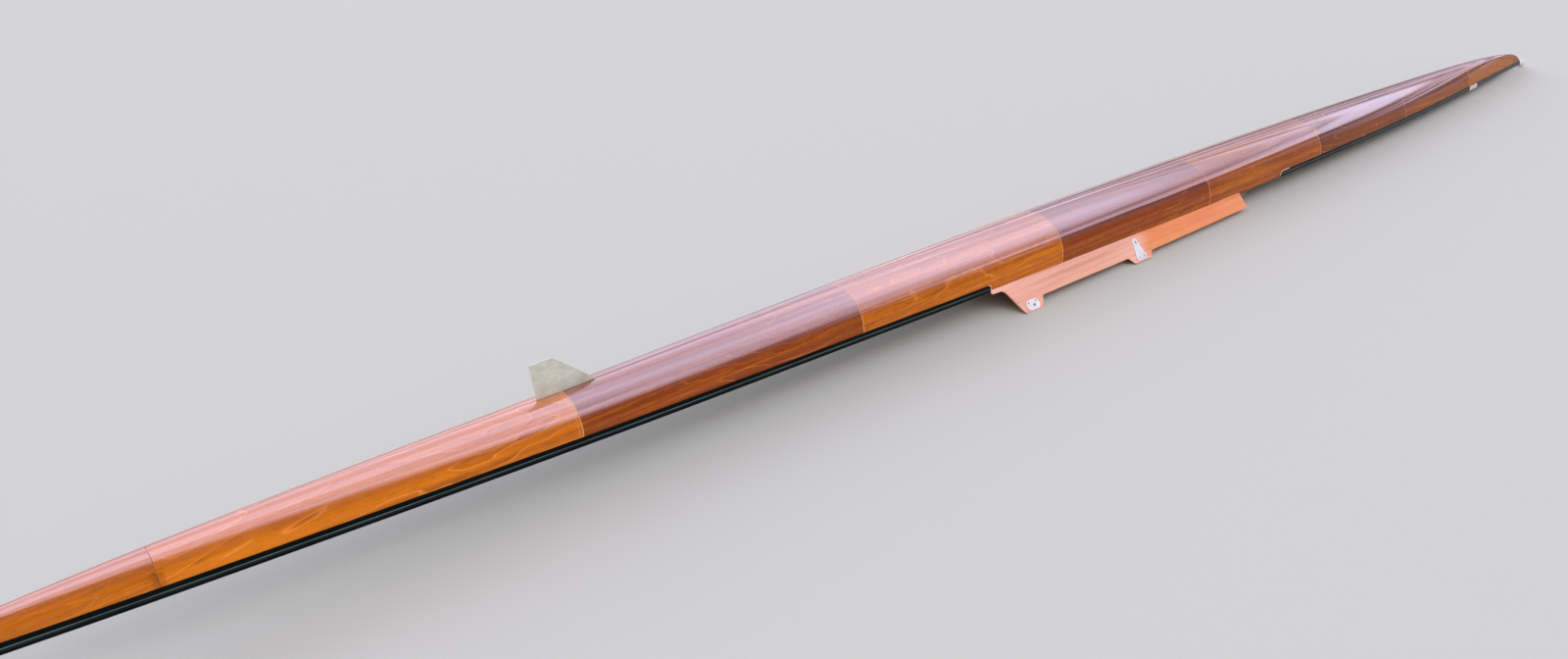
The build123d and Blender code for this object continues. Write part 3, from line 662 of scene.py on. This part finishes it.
def sawn_wood(name, dark, middle, bright, grain, rough=0.30, coat=0.6, coat_ior=1.5, dull_and_shade_from=None):
    """Solid wood under thin varnish. grain: how often its streaks repeat per metre along X, Y and Z.

    From the place along the boat given by the last argument, the varnish goes dull and the colour is
    painted deeper: a painted shade."""
    material = start_nodes(bpy.data.materials.new(name))
    place = add("TexCoord").outputs["Object"]
    streaks = noise(place, grain, detail=5.0, rough=0.62)
    wide = noise(place, tuple(0.22 * g for g in grain))
    fine = noise(place, tuple(9.0 * g for g in grain), rough=0.6)
    value = times_plus(streaks, 0.65, times(wide, 0.35))
    colour = ramp(value, [(0.30, dark), (0.50, middle), (0.68, bright)])
    colour = blend_colour(times(between(fine, 0.58, 0.70), 0.30), colour, dark)
    if dull_and_shade_from is not None:
        along = times_plus(wide, 0.12, add("SeparateXYZ", {0: place}).outputs[0])
        dull_and_shade_edge = (dull_and_shade_from, dull_and_shade_from + dull_over)
        coat = between(along, *dull_and_shade_edge, coat, 0.2 * coat)
        # Painted shade: the colour painted darker and deeper past that place
        painted_shade = blend_colour(1.0, colour, painted_shade_tint, mode="MULTIPLY")
        colour = blend_colour(between(along, *dull_and_shade_edge), colour, painted_shade)
    normal = bump(times_plus(streaks, 1.0, fine), 0.00012)
    shader(
        colour, rough, Specular_IOR_Level=0.2, Normal=normal,
        Coat_Weight=coat, Coat_Roughness=0.10, Coat_IOR=coat_ior,
    )
    return material


# %% Sawn woods
board_grain = (2.2, 85.0, 85.0)
inner_skin = sawn_wood(
    "inner_skin", (0.20, 0.065, 0.018), (0.38, 0.15, 0.05), (0.52, 0.24, 0.09), (1.5, 60.0, 60.0),
    rough=0.45, coat=0.15,
)
# Flared boards, painted deeper towards the bow as a painted shade
board_wood = sawn_wood(
    "board_wood", (0.60, 0.16, 0.05), (0.95, 0.37, 0.17), (0.98, 0.50, 0.28), board_grain,
    rough=0.32, coat=1.0, coat_ior=varnish_index, dull_and_shade_from=-0.25,
)
board_edge = sawn_wood(
    "board_edge", (0.80, 0.48, 0.30), (0.90, 0.60, 0.42), (0.96, 0.72, 0.55), board_grain,
    rough=0.4, coat=0.3,
)
splash_wood = sawn_wood(
    "splash_wood", (0.13, 0.022, 0.006), (0.34, 0.075, 0.022), (0.50, 0.14, 0.05), board_grain
)
spruce = (0.50, 0.30, 0.14), (0.70, 0.46, 0.24), (0.80, 0.58, 0.34)
spruce_along = sawn_wood("spruce_along", *spruce, (2.0, 120.0, 120.0))
spruce_across = sawn_wood("spruce_across", *spruce, (120.0, 3.0, 120.0))
plywood = sawn_wood(
    "plywood", (0.42, 0.22, 0.10), (0.60, 0.36, 0.18), (0.72, 0.48, 0.27), (5.0, 90.0, 5.0)
)
print("flared boards:", board_wood.name, "and", board_edge.name, "inside:", plywood.name)

# %% Skin panels
# Tone, brown share and loops of each sheet, from the stern to the bow
TONES = [0.74, 0.85, 0.50, 0.71, 0.44, 0.56, 0.40, 0.46, 0.60]
BROWNS = [0.0, 0.0, 0.0, 0.1, 0.0, 0.2, 0.3, 0.45, 0.7]
LOOPS = [0.5, 1.5, 0.6, 1.2, 0.4, 0.3, 1.0, 0.3, 0.8]
ragged_seam, double_seam = 0.0, 1.0
row_step, seam_row = 0.016, 0.0015  # rows of points along the boat, and those beside a seam, in pitches
seam_places = [sternpost_place] + list(range(8)) + [stem_place]
for number, (start, end) in enumerate(zip(seam_places[:-1], seam_places[1:]), start=1):
    place = dense_ends(start, end, row_step, seam_row)
    points = hull_surface(place, across)
    nearest = np.where(place - start < end - place, start, end)[:, None]
    values = {
        "seam": (np.minimum(place - start, end - place) * pitch)[:, None],
        "filled": (nearest != ragged_seam).astype(float),
        "twice": ((nearest == double_seam) & (end == double_seam)).astype(float),
        "gloss": gloss_across,
        "number": float(number),
        "tone": TONES[number - 1],
        "brown": BROWNS[number - 1],
        "loops": LOOPS[number - 1],
    }
    sheet = unrolled_sheet(points)
    panel = surface(f"veneer_sheet_{number}", park(points), sheet, values=values, inside_out=True)
    thicken(panel, skin, inner_slot=1)
    dress(panel, [veneer, inner_skin], replaced=[f"hull_panel_{number}"])
print("sheets of veneer:", len(seam_places) - 1)

# %% [markdown]
# ## Solid ends
# The skin ends on a block of solid mahogany at either end. The bow block runs down in a quick curve to
# the ball and has a rounded nose. Both are the hull's surface carried on, closed underneath, and
# narrowed to nothing along a quarter circle over the last few millimetres.

# %% Sternpost and stem
def nose_share(distance, radius):
    """Share of the full width left at a distance from a rounded nose: a quarter circle."""
    return np.sqrt(np.clip(1 - (1 - np.clip(distance / radius, 0, 1)) ** 2, 1e-4, 1))


def solid_end(name, x, from_nose, number, brown, node):
    """Closed block between two places along the hull, rounded off towards its nose."""
    points = hull_surface(x / pitch, across, beam_share=nose_share(from_nose, end_radius))
    closed = np.concatenate([points, points[:, :1]], axis=1)
    values = {"gloss": gloss_across, "number": number, "tone": end_tone, "brown": brown, "loops": 0.3}
    sheet = unrolled_sheet(closed)
    block = surface(name, park(points), sheet, closed=True, values=values, inside_out=True)
    dress(block, [end_wood], replaced=[node])


end_radius, end_tone = 0.0065, 0.46
nose_rows = np.cumsum([0.0, 0.0002, 0.0004, 0.0007, 0.0011, 0.0016, 0.0025])
from_tail = np.concatenate([nose_rows, np.linspace(0.012, (sternpost_place - tail) * pitch, 14)])
tail_rows = tail * pitch + from_tail
from_nose = np.concatenate([nose_rows, np.linspace(0.009, (nose - stem_place) * pitch, 26)])
bow_rows = nose * pitch - from_nose[::-1]
solid_end("stern_block", tail_rows, tail_rows - tail * pitch, 11.0, 0.0, "sternpost")
solid_end("bow_block", bow_rows, nose * pitch - bow_rows, 12.0, 0.9, "stem")
print("solid ends:", round(from_tail[-1], 3), "and", round(from_nose[-1], 3), "m long")

# %% [markdown]
# ## Black strips
# A strip of black plastic caps the joint of skin and deck. It isn't a plain half round: its lower part
# stands further out, and the step between the two catches the sky as one thin pale line all along the
# boat. That pale line, with a fainter one below it, is also painted into the strip's colour as a painted
# highlight. The profile is a table of points, smoothed, and carried along the edge of the skin.

# %% Strip material
def moulded(name, colour, lighter, roughness, coat, grain=0.00006, bump_scale=900.0, level=0.5, worn=None):
    """Moulded plastic or rubber: faint clouds in its colour and a fine skin in its bump.

    Where the attribute of the painted highlight is high, and more so in patches, it shows a pale colour: a
    painted highlight."""
    material = start_nodes(bpy.data.materials.new(name))
    place = add("TexCoord").outputs["Object"]
    clouds = noise(place, 9.0, detail=4.0, rough=0.6)
    tint = blend_colour(between(clouds, 0.35, 0.70), colour, lighter)
    rough = between(clouds, 0.3, 0.7, roughness * 0.85, roughness * 1.2)
    if worn is not None:
        # Painted highlight: a pale colour laid in thin lines where the attribute says, broken up in patches
        patches = noise(place, (5.0, 30.0, 30.0), detail=4.0, rough=0.6)
        share = times(attribute("painted_highlight"), between(patches, 0.25, 0.60, 0.45, 1.0))
        tint = blend_colour(share, tint, worn)
    normal = bump(noise(place, bump_scale), grain)
    shader(
        tint, rough, Specular_IOR_Level=level, Normal=normal,
        Coat_Weight=coat, Coat_Roughness=0.08, Coat_IOR=1.5,
    )
    return material


# Black strip, with a pale painted highlight in thin lines along its step
strip_black = moulded(
    "strip_black", (0.0012, 0.003, 0.003), (0.002, 0.006, 0.005), 0.22, 0.0,
    level=0.06, worn=(0.11, 0.15, 0.15),
)
pale_plastic = moulded("pale_plastic", (0.62, 0.60, 0.54), (0.74, 0.73, 0.68), 0.38, 0.2)
print("plastics:", strip_black.name, pale_plastic.name)

# %% Profile of the strips
# Out from the skin and up from the strip's upper edge, millimetres
STRIP_PROFILE = np.array([
    (-0.6, -0.4), (0.6, 0.0), (2.0, -0.5), (2.9, -1.7), (3.1, -4.0), (3.2, -7.0), (3.3, -9.2),
    (3.8, -10.2), (5.0, -11.1), (5.7, -12.2), (5.8, -13.4), (5.3, -14.1), (5.4, -14.8), (5.9, -15.6),
    (6.0, -18.0), (5.7, -20.8), (4.6, -23.0), (2.6, -24.0), (-0.6, -24.0),
]) * millimetre
strip_inset = 0.6 * millimetre  # how far its flat back is let into the skin


def smoothed(line, parts):
    """Points on cubics through the points of an open line, a number of parts to each run."""
    before, after = np.concatenate([line[:1], line[:-2]]), np.concatenate([line[2:], line[-1:]])
    start, end = line[:-1], line[1:]
    t = (np.arange(parts) / parts)[None, :, None]
    ends = (value[:, None, :] for value in (start, end, (end - before) / 2, (after - start) / 2))
    return np.concatenate([cubic(t, *ends).reshape(-1, line.shape[1]), line[-1:]])


end_height = 0.3  # share of its height that a strip keeps at its very end


def strip_points(x, side, share):
    """Profile carried along the sheer: out from the side of the skin, down from its upper edge."""
    half_beam, sheer, _ = lines_at(x[:, None] / pitch)
    middle = -strip_height / 2
    out = (profile[None, :, 0] + strip_inset) * share[:, None] - strip_inset
    up = middle + (profile[None, :, 1] - middle) * np.maximum(share[:, None], end_height)
    return np.stack(np.broadcast_arrays(x[:, None], side * (half_beam + out), sheer + up), axis=-1)


def painted_highlight_lines(heights):
    """Share of painted highlight at each height: a narrow peak on its step and a weaker one below it."""
    first = np.exp(-(((heights / millimetre + 10.7) / 0.85) ** 2))
    second = 0.35 * np.exp(-(((heights / millimetre + 14.6) / 0.5) ** 2))
    return (first + second)[None, :]


profile = smoothed(STRIP_PROFILE, 3)
print("points in the strip's profile:", len(profile))

# %% Strips
cockpit_stern, cockpit_bow = 2.444, 3.990
bare_run = 0.343  # without a strip, from the cockpit's bow end
strip_nose, strip_step = 0.008, 0.02
sides = {"starboard": 1, "port": -1}
strip_runs = {"stern": (tail * pitch, cockpit_stern), "bow": (cockpit_bow + bare_run, nose * pitch)}
for end_name, (start, end) in strip_runs.items():
    middle_rows = np.linspace(start + strip_step, end - strip_step, int((end - start) / strip_step))
    ends = np.array([0.0, 0.0004, 0.0012, 0.0025, 0.0045, strip_nose])
    x = np.concatenate([start + ends, middle_rows, (end - ends)[::-1]])
    share = nose_share(np.minimum(x - start, end - x), strip_nose)
    for side_name, side in sides.items():
        # Each strip carries, by height, where its pale painted highlight lines lie
        strip = surface(
            f"black_strip_{end_name}_{side_name}", park(strip_points(x, side, share)), closed=True,
            values={"painted_highlight": painted_highlight_lines(profile[:, 1])}, inside_out=side < 0,
        )
        dress(strip, [strip_black], replaced=[f"gunwale_strip_{end_name}_{side_name}"])
print("black strips:", len(strip_runs) * len(sides))

# %% [markdown]
# ## Decks
# The decks are black fabric drawn over light beams and varnished. They are thin crowned sheets, so one
# sheet of points across the boat is enough, with a thickness on its inner side. Between the beams the
# fabric sags by a hair, which the gloss shows.

# %% Deck material
def painted_fabric(name, colour, lighter):
    """Fabric under black varnish: a fine weave in the bump, soft clouds in the colour."""
    material = start_nodes(bpy.data.materials.new(name))
    place = add("TexCoord").outputs["Object"]
    weave = add("TexWave", {0: stretched(place, (420.0, 0.0, 0.0)), 1: 1.0}).outputs["Fac"]
    weft = add("TexWave", {0: stretched(place, (0.0, 420.0, 0.0)), 1: 1.0}).outputs["Fac"]
    clouds = noise(place, 6.0, detail=4.0)
    tint = blend_colour(between(clouds, 0.35, 0.7), colour, lighter)
    normal = bump(times_plus(times(weave, weft), 0.3, clouds), 0.0003)
    shader(tint, 0.35, Coat_Weight=0.7, Coat_Roughness=0.10, Normal=normal)
    return material


deck_black = painted_fabric("deck_black", (0.010, 0.010, 0.011), (0.022, 0.022, 0.024))
print("deck finish:", deck_black.name)

# %% Decks
deck_crown, deck_thickness, deck_beam_pitch, deck_sag = 0.09, 0.0025, 0.16, 0.0004
deck_step, deck_columns = 0.016, 33  # metres between rows of points, and points from side to side


def deck_surface(x, across):
    """Crowned sheet from side to side: z falls from the skin's lower edge by crown (1 - v^2).

    Between the beams it sags inwards, by deck_sag times a raised cosine."""
    half_beam, sheer, _ = lines_at(x[:, None] / pitch)
    v = across[None, :]
    sag = deck_sag * (1 - np.cos(2 * pi * x / deck_beam_pitch))[:, None] * (1 - v**2)
    z = sheer - strip_height - deck_thickness - deck_crown * half_beam * (1 - v**2) + sag
    return np.stack(np.broadcast_arrays(x[:, None], half_beam * v, z), axis=-1)


deck_runs = {"stern": (tail * pitch, cockpit_stern), "bow": (cockpit_bow, nose * pitch)}
for end_name, (start, end) in deck_runs.items():
    x = np.linspace(start, end, int((end - start) / deck_step))
    deck = surface(f"fabric_deck_{end_name}", park(deck_surface(x, np.linspace(-1, 1, deck_columns))))
    thicken(deck, deck_thickness)
    dress(deck, [deck_black], replaced=[f"{end_name}_deck"])
print("decks:", len(deck_runs))

# %% [markdown]
# ## Rounded copies
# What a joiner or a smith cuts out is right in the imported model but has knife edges, and a real edge is
# always broken a little, which is what catches the light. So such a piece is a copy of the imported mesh,
# merged into one skin, its flat parts joined, with a bevel on every sharp edge. The bevel's faces may
# take a material of their own, as where sanding has gone through to paler wood.

# %% Copy helper
def merged_mesh(name, node):
    """Copy of a CAD node's mesh, its doubled points merged and its flat parts joined."""
    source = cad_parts[node].data
    points = np.empty(len(source.vertices) * 3, np.float32)
    source.vertices.foreach_get("co", points)
    corners = np.empty(len(source.loops), np.int32)
    source.loops.foreach_get("vertex_index", corners)
    mesh = bpy.data.meshes.new(name)
    mesh.from_pydata(points.reshape(-1, 3), [], corners.reshape(-1, 3))
    form = bmesh.new()
    form.from_mesh(mesh)
    bmesh.ops.remove_doubles(form, verts=form.verts, dist=0.01 * millimetre)
    bmesh.ops.dissolve_limit(form, angle_limit=radians(0.6), verts=form.verts, edges=form.edges)
    form.to_mesh(mesh)
    form.free()
    mesh.polygons.foreach_set("use_smooth", np.full(len(mesh.polygons), True))
    return mesh


def rounded_copy(name, node, width, materials, segments=2, body="boat"):
    """Dressed copy of a node whose sharp edges get a bevel; a second material is for the bevel alone."""
    piece = new_object(name, merged_mesh(name, node))
    bevel = piece.modifiers.new("broken edges", "BEVEL")
    bevel.width = width
    bevel.segments = segments
    bevel.limit_method = "ANGLE"
    bevel.angle_limit = radians(32)
    bevel.material = 1 if len(materials) > 1 else -1
    weighted = piece.modifiers.new("flat faces", "WEIGHTED_NORMAL")
    weighted.keep_sharp = True
    dress(piece, materials, body, replaced=[node])


# %% [markdown]
# ## Washboards
# The flared boards keep water out of the cockpit. Their outer face is orange wood with straight grain
# under gloss varnish that mirrors the pale sky. Towards the bow the varnish goes dull and the colour is
# painted deeper, a painted shade, and the sanded edge all round them is paler. Each carries two metal
# plates.

# %% Washboards, knees and splash boards
for side_name in sides:
    node = f"washboard_{side_name}"
    rounded_copy(f"flared_board_{side_name}", node, 0.0013, [board_wood, board_edge], segments=3)
    node = f"splash_board_{side_name}"
    rounded_copy(f"breakwater_{side_name}", node, 0.0012, [splash_wood], segments=3)
    for end_name in ("stern", "bow"):
        node = f"shoulder_knee_{end_name}_{side_name}"
        rounded_copy(f"knee_{end_name}_{side_name}", node, 0.0012, [spruce_along])
print("boards and knees:", len(sides) * 4)

# %% [markdown]
# ## Metal
# The fin is thin sheet, dulled by water, with its edges filed bright. The shoulder plates are brushed
# and catch more light. Brushing is a noise drawn out very long in one direction, in both the colour and
# the roughness, with a few blotches of dull oxide over it.

# %% Metal material
def worn_metal(name, dull, clean, roughness, brushed, metallic=1.0):
    """Bare metal: brushing drawn out along one axis, and clouds of dull oxide."""
    material = start_nodes(bpy.data.materials.new(name))
    place = add("TexCoord").outputs["Object"]
    marks = noise(place, brushed, detail=3.0, rough=0.6)
    clouds = noise(place, 22.0, detail=5.0, rough=0.65)
    share = times_plus(marks, 0.55, times(clouds, 0.45))
    share = between(share, 0.36, 0.62)
    tint = blend_colour(share, dull, clean)
    rough = between(share, 0.0, 1.0, roughness * 1.3, roughness * 0.85)
    shader(tint, rough, Metallic=metallic, Normal=bump(marks, 0.00012))
    return material


# Dull and clean colour, roughness, marks per metre along X, Y and Z, and how metallic it looks
METALS = {
    "fin_metal": ((0.66, 0.69, 0.59), (0.88, 0.92, 0.84), 0.48, (40.0, 40.0, 700.0), 0.5),
    "fin_edge": ((0.75, 0.74, 0.66), (0.90, 0.90, 0.84), 0.42, (60.0, 60.0, 900.0), 0.6),
    "plate_metal": ((0.72, 0.71, 0.68), (0.90, 0.90, 0.90), 0.42, (900.0, 60.0, 60.0), 0.45),
    "screw_metal": ((0.30, 0.29, 0.27), (0.55, 0.55, 0.54), 0.30, (300.0, 300.0, 300.0)),
    "track_metal": ((0.55, 0.55, 0.55), (0.78, 0.78, 0.79), 0.30, (30.0, 900.0, 900.0), 0.9),
}
metal = {name: worn_metal(name, *finish) for name, finish in METALS.items()}
print("metals:", len(metal))

# %% Fin
rounded_copy("keel_fin", "fin", 0.0007, [metal["fin_metal"], metal["fin_edge"]])

# %% [markdown]
# ## Plates and screws
# Every plate is held by two or three small countersunk screws beside its bolt hole. A screw head is a
# low dome, so it is a circle carried along a short curved line from its rim to its top.

# %% Shoulder faces
flare = radians(42.0)
plate_face = 2.1  # height of a plate's outer face above the plane of the shoulder, millimetres
shoulder_rise = 0.006  # of that plane's origin above the skin's edge under the strips, metres
screw_radius, screw_rise, screw_skirt = 0.0035, 0.0009, 0.0012
# From the cockpit's stern end: the shoulder's middle, and where its tip starts and ends
SHOULDERS = {"stern": (0.146, 0.101, 0.188), "bow": (0.778, 0.726, 0.828)}
# Along the shoulder and down it, millimetres
SCREWS = {"stern": [(-15.0, 84.0), (19.0, 84.0)], "bow": [(4.5, 21.0), (-14.0, 84.0), (14.0, 84.0)]}


def shoulder_frame(name, side):
    """Origin and three axes of the board's outer face: along the boat, down the slope, out of it."""
    centre, tip_start, tip_end = (cockpit_stern + value for value in SHOULDERS[name])
    middles = np.array([cockpit_stern + shoulder[0] for shoulder in SHOULDERS.values()])
    top = lines_at(middles / pitch)[1].min() - strip_height + shoulder_rise
    half_beam = lines_at(np.array([centre, tip_start, tip_end]) / pitch)[0]
    yaw = atan2(half_beam[2] - half_beam[1], tip_end - tip_start)
    origin = np.array([centre, side * half_beam[0], top])
    along = np.array([cos(yaw), side * sin(yaw), 0.0])
    out = np.array([-sin(yaw) * cos(flare), side * cos(yaw) * cos(flare), cos(yaw) * sin(flare)])
    return origin, along, np.cross(out, along) * side, out


def screw_head(name, centre, along, down, out):
    """Low dome with a rim: radius and height follow a quarter circle from the rim to the top."""
    angle = round_turn(24)[None, :, None]
    turn = np.linspace(0, pi / 2, 7)
    size = screw_radius * np.concatenate([[1, 1], np.cos(turn[1:-1]) * 0.98, [0.02]])
    height = np.concatenate([[-screw_skirt, 0.0001], screw_rise * np.sin(turn[1:-1]), [screw_rise]])
    ring = np.cos(angle) * along + np.sin(angle) * down
    points = centre + size[:, None, None] * ring + height[:, None, None] * out
    return surface(name, park(points), closed=True)


count = 0
for side_name, side in sides.items():
    for end_name in SHOULDERS:
        node, name = (f"{kind}_plate_{end_name}_{side_name}" for kind in ("shoulder", "bolt"))
        rounded_copy(name, node, 0.0006, [metal["plate_metal"]])
        origin, along, down, out = shoulder_frame(end_name, side)
        for x, y in SCREWS[end_name]:
            count += 1
            centre = origin + (x * along + y * down + plate_face * out) * millimetre
            head = screw_head(f"plate_screw_{count}", centre, along, down, out)
            dress(head, [metal["screw_metal"]])
print("plate screws:", count)

# %% [markdown]
# ## Ball and small fittings
# A white rubber ball on a short neck guards the bow, and its mould has left a fine seam round it. Thin
# pale trim closes the ends of the black strips, and a white clip sits on the strip near the bow.

# %% Bow ball
white_rubber = moulded("white_rubber", (0.70, 0.69, 0.65), (0.82, 0.82, 0.79), 0.50, 0.1, 0.0001, 700.0)
neck_radius, neck_height = 0.008, 0.088
neck_flare, neck_bend = 0.15, 0.010
seam_ridge, seam_width = 0.0004, 0.03


def ball_surface(rows, columns):
    """Neck and ball turned about X: neck radius up to the ball, a small flare, then the sphere.

    The axis slides from the neck's height to the ball's. The mould's seam is a low round ridge."""
    neck_end = (1 + neck_flare) * neck_radius
    angle = np.linspace(np.arccos(-np.sqrt(1 - (neck_end / ball_radius) ** 2)), 0.0, rows)
    x = ball_place[0] + ball_radius * np.cos(angle)
    radius = ball_radius * np.sin(angle) + seam_ridge * np.exp(-(((angle - pi / 2) / seam_width) ** 2))
    neck = np.linspace(nose * pitch - 0.002, x[0], 8)[:-1]
    neck_size = neck_radius * (1 + neck_flare * np.linspace(0, 1, 7) ** 3)
    x, radius = np.concatenate([neck, x]), np.concatenate([neck_size, np.maximum(radius, 0.0001)])
    share = np.clip((x - nose * pitch) / (ball_place[0] - neck_bend - nose * pitch), 0, 1)
    middle = neck_height + (ball_place[2] - neck_height) * share**2 * (3 - 2 * share)
    turn = round_turn(columns)[None, :]
    y, z = radius[:, None] * np.cos(turn), middle[:, None] + radius[:, None] * np.sin(turn)
    return np.stack(np.broadcast_arrays(x[:, None], y, z), axis=-1)


ball = surface("bow_guard", park(ball_surface(72, 64)), closed=True, inside_out=True)
dress(ball, [white_rubber], replaced=["bow_ball"])
print("ball across:", 2000 * ball_radius, "mm")


# %% Trim at the ends of the strips
def tube(path, radius, columns):
    """Round tube along a path in the X-Z plane: a circle turned square to the path at each point."""
    ahead = np.gradient(path, axis=0)
    ahead /= np.linalg.norm(ahead, axis=1)[:, None]
    sideways = np.array([0.0, 1.0, 0.0])
    upright = np.cross(ahead, sideways)
    turn = round_turn(columns)[None, :, None]
    share = nose_share(np.minimum(np.arange(len(path)), np.arange(len(path))[::-1]) + 0.4, 3.0)
    size = (radius * share)[:, None, None]
    return path[:, None] + size * (np.cos(turn) * upright[:, None] + np.sin(turn) * sideways)


def trim_path(x_end, ahead, run, side):
    """Path up the end of a strip, round its corner and along its upper edge."""
    rise = np.linspace(-strip_height + 0.002, -trim_corner, 10)
    turn = np.linspace(0, pi / 2, 12)[1:-1]
    along = np.linspace(trim_corner, run, 16)
    forward = np.concatenate([np.zeros(10), trim_corner * (1 - np.cos(turn)), along])
    up = np.concatenate([rise, -trim_corner + trim_corner * np.sin(turn), np.zeros(16)])
    x = x_end + ahead * forward
    half_beam, sheer, _ = lines_at(x / pitch)
    return np.stack([x, side * (half_beam + trim_out), sheer + up + trim_up], axis=-1)


trim_radius, trim_corner = 0.0017, 0.010
trim_out, trim_up = 0.0016, 0.0004  # from the skin's side and above the strip's upper edge
TRIMS = {"bow": (cockpit_bow + bare_run, 1, 0.075), "stern": (cockpit_stern, -1, 0.013)}
for side_name, side in sides.items():
    for end_name, trim_run in TRIMS.items():
        points = tube(trim_path(*trim_run, side), trim_radius, 12)
        trim = surface(f"strip_trim_{end_name}_{side_name}", park(points), closed=True)
        dress(trim, [board_edge])
print("trims:", len(TRIMS) * len(sides))

# %% Clip
clip_x, clip_length = 6.648, 0.118
clip_out, clip_down = 0.0052, 0.0115  # its middle, from the skin's side and the strip's upper edge
clip_half_width, clip_half_height, clip_power = 0.0045, 0.0125, 0.55


def clip_surface(rows, columns, side):
    """Two-lobed clip round the strip: a rounded box section whose size swells twice along its length."""
    t = np.linspace(0, 1, rows)
    lobes = (0.55 + 0.45 * np.abs(np.cos(pi * t)) ** 0.5)[:, None]
    closing = nose_share(np.minimum(t, 1 - t) * clip_length, 0.006)[:, None]
    turn = round_turn(columns)[None, :]
    level, upright = (np.sign(v) * np.abs(v) ** clip_power for v in (np.cos(turn), np.sin(turn)))
    x = (clip_x + clip_length * (t - 0.5))[:, None]
    half_beam, sheer, _ = lines_at(x / pitch)
    y = side * (half_beam + clip_out + clip_half_width * lobes * closing * level)
    z = sheer - clip_down + clip_half_height * closing * (0.8 + 0.2 * lobes) * upright
    return np.stack(np.broadcast_arrays(x, y, z), axis=-1)


for side_name, side in sides.items():
    points = park(clip_surface(61, 32, side))
    clip = surface(f"number_clip_{side_name}", points, closed=True, inside_out=side < 0)
    dress(clip, [pale_plastic])
print("clips:", len(sides), "each", clip_length, "m long")

# %% [markdown]
# ## Inside of the cockpit
# Seen from below, the cockpit is a light frame: bulkheads of plywood with screwed hatches, ribs, a
# keelson, and beams that carry two metal tracks. These pieces are plain sawn work, so they are rounded
# copies, each with its grain in its own direction.

# %% Cockpit frame
black_plastic = moulded(
    "black_plastic", (0.012, 0.012, 0.013), (0.028, 0.028, 0.030), 0.42, 0.2, 0.00012, 500.0
)
# Material, slot, width of the broken edges in metres, and the nodes
COCKPIT = [
    (plywood, "spruce", 0.0006, "bulkhead_stern", "bulkhead_bow"),
    (black_plastic, "black_plastic", 0.0012, "hatch_stern", "hatch_bow"),
    (spruce_along, "spruce", 0.0012, "keelson"),
    (spruce_across, "spruce", 0.0010, "rib_1", "rib_2", "rib_3"),
    (spruce_along, "spruce", 0.0012, "inwale_starboard", "inwale_port"),
    (spruce_across, "spruce", 0.0012, "slide_beam_1", "slide_beam_2", "slide_beam_3"),
    (spruce_along, "spruce", 0.0012, "slide_runner_starboard", "slide_runner_port"),
    (metal["track_metal"], "aluminium", 0.0005, "slide_track_starboard", "slide_track_port"),
    (spruce_along, "spruce", 0.0012, "stretcher_rail_starboard", "stretcher_rail_port"),
    (metal["track_metal"], "aluminium", 0.0008, "stretcher_keel_rail"),
]


def finish_nodes(table, body):
    """Rounded copies of every node in a table, riding on one body."""
    for material, slot, width, *nodes in table:
        for node in nodes:
            rounded_copy(f"{node}_finished", node, width, [material], body=body)
    return sum(len(row) - 3 for row in table)


print("pieces of the cockpit:", finish_nodes(COCKPIT, "boat"))

# %% [markdown]
# ## Foot stretcher
# Feet rest on a sloping board with heel cups and a leather strap. It slides along its rails as one
# body, so its pieces ride on that body.

# %% Foot stretcher
def worn_leather(name, dark, light):
    """Leather: cells of grain in the bump, lighter where it is scuffed."""
    material = start_nodes(bpy.data.materials.new(name))
    place = add("TexCoord").outputs["Object"]
    cells = add("TexVoronoi", {"Vector": place, "Scale": 520.0}).outputs["Distance"]
    clouds = noise(place, 30.0, detail=5.0)
    tint = blend_colour(between(clouds, 0.40, 0.68), dark, light)
    shader(tint, 0.55, Normal=bump(cells, 0.00025))
    return material


leather = worn_leather("leather", (0.055, 0.028, 0.014), (0.16, 0.09, 0.045))
STRETCHER = [
    (plywood, "spruce", 0.0012, "stretcher_board"),
    (spruce_across, "spruce", 0.0012, "stretcher_bar", "stretcher_foot"),
    (black_plastic, "black_plastic", 0.0008, "heel_cups"),
    (leather, "leather", 0.0008, "toe_strap"),
]
print("pieces of the stretcher:", finish_nodes(STRETCHER, "foot_stretcher"))
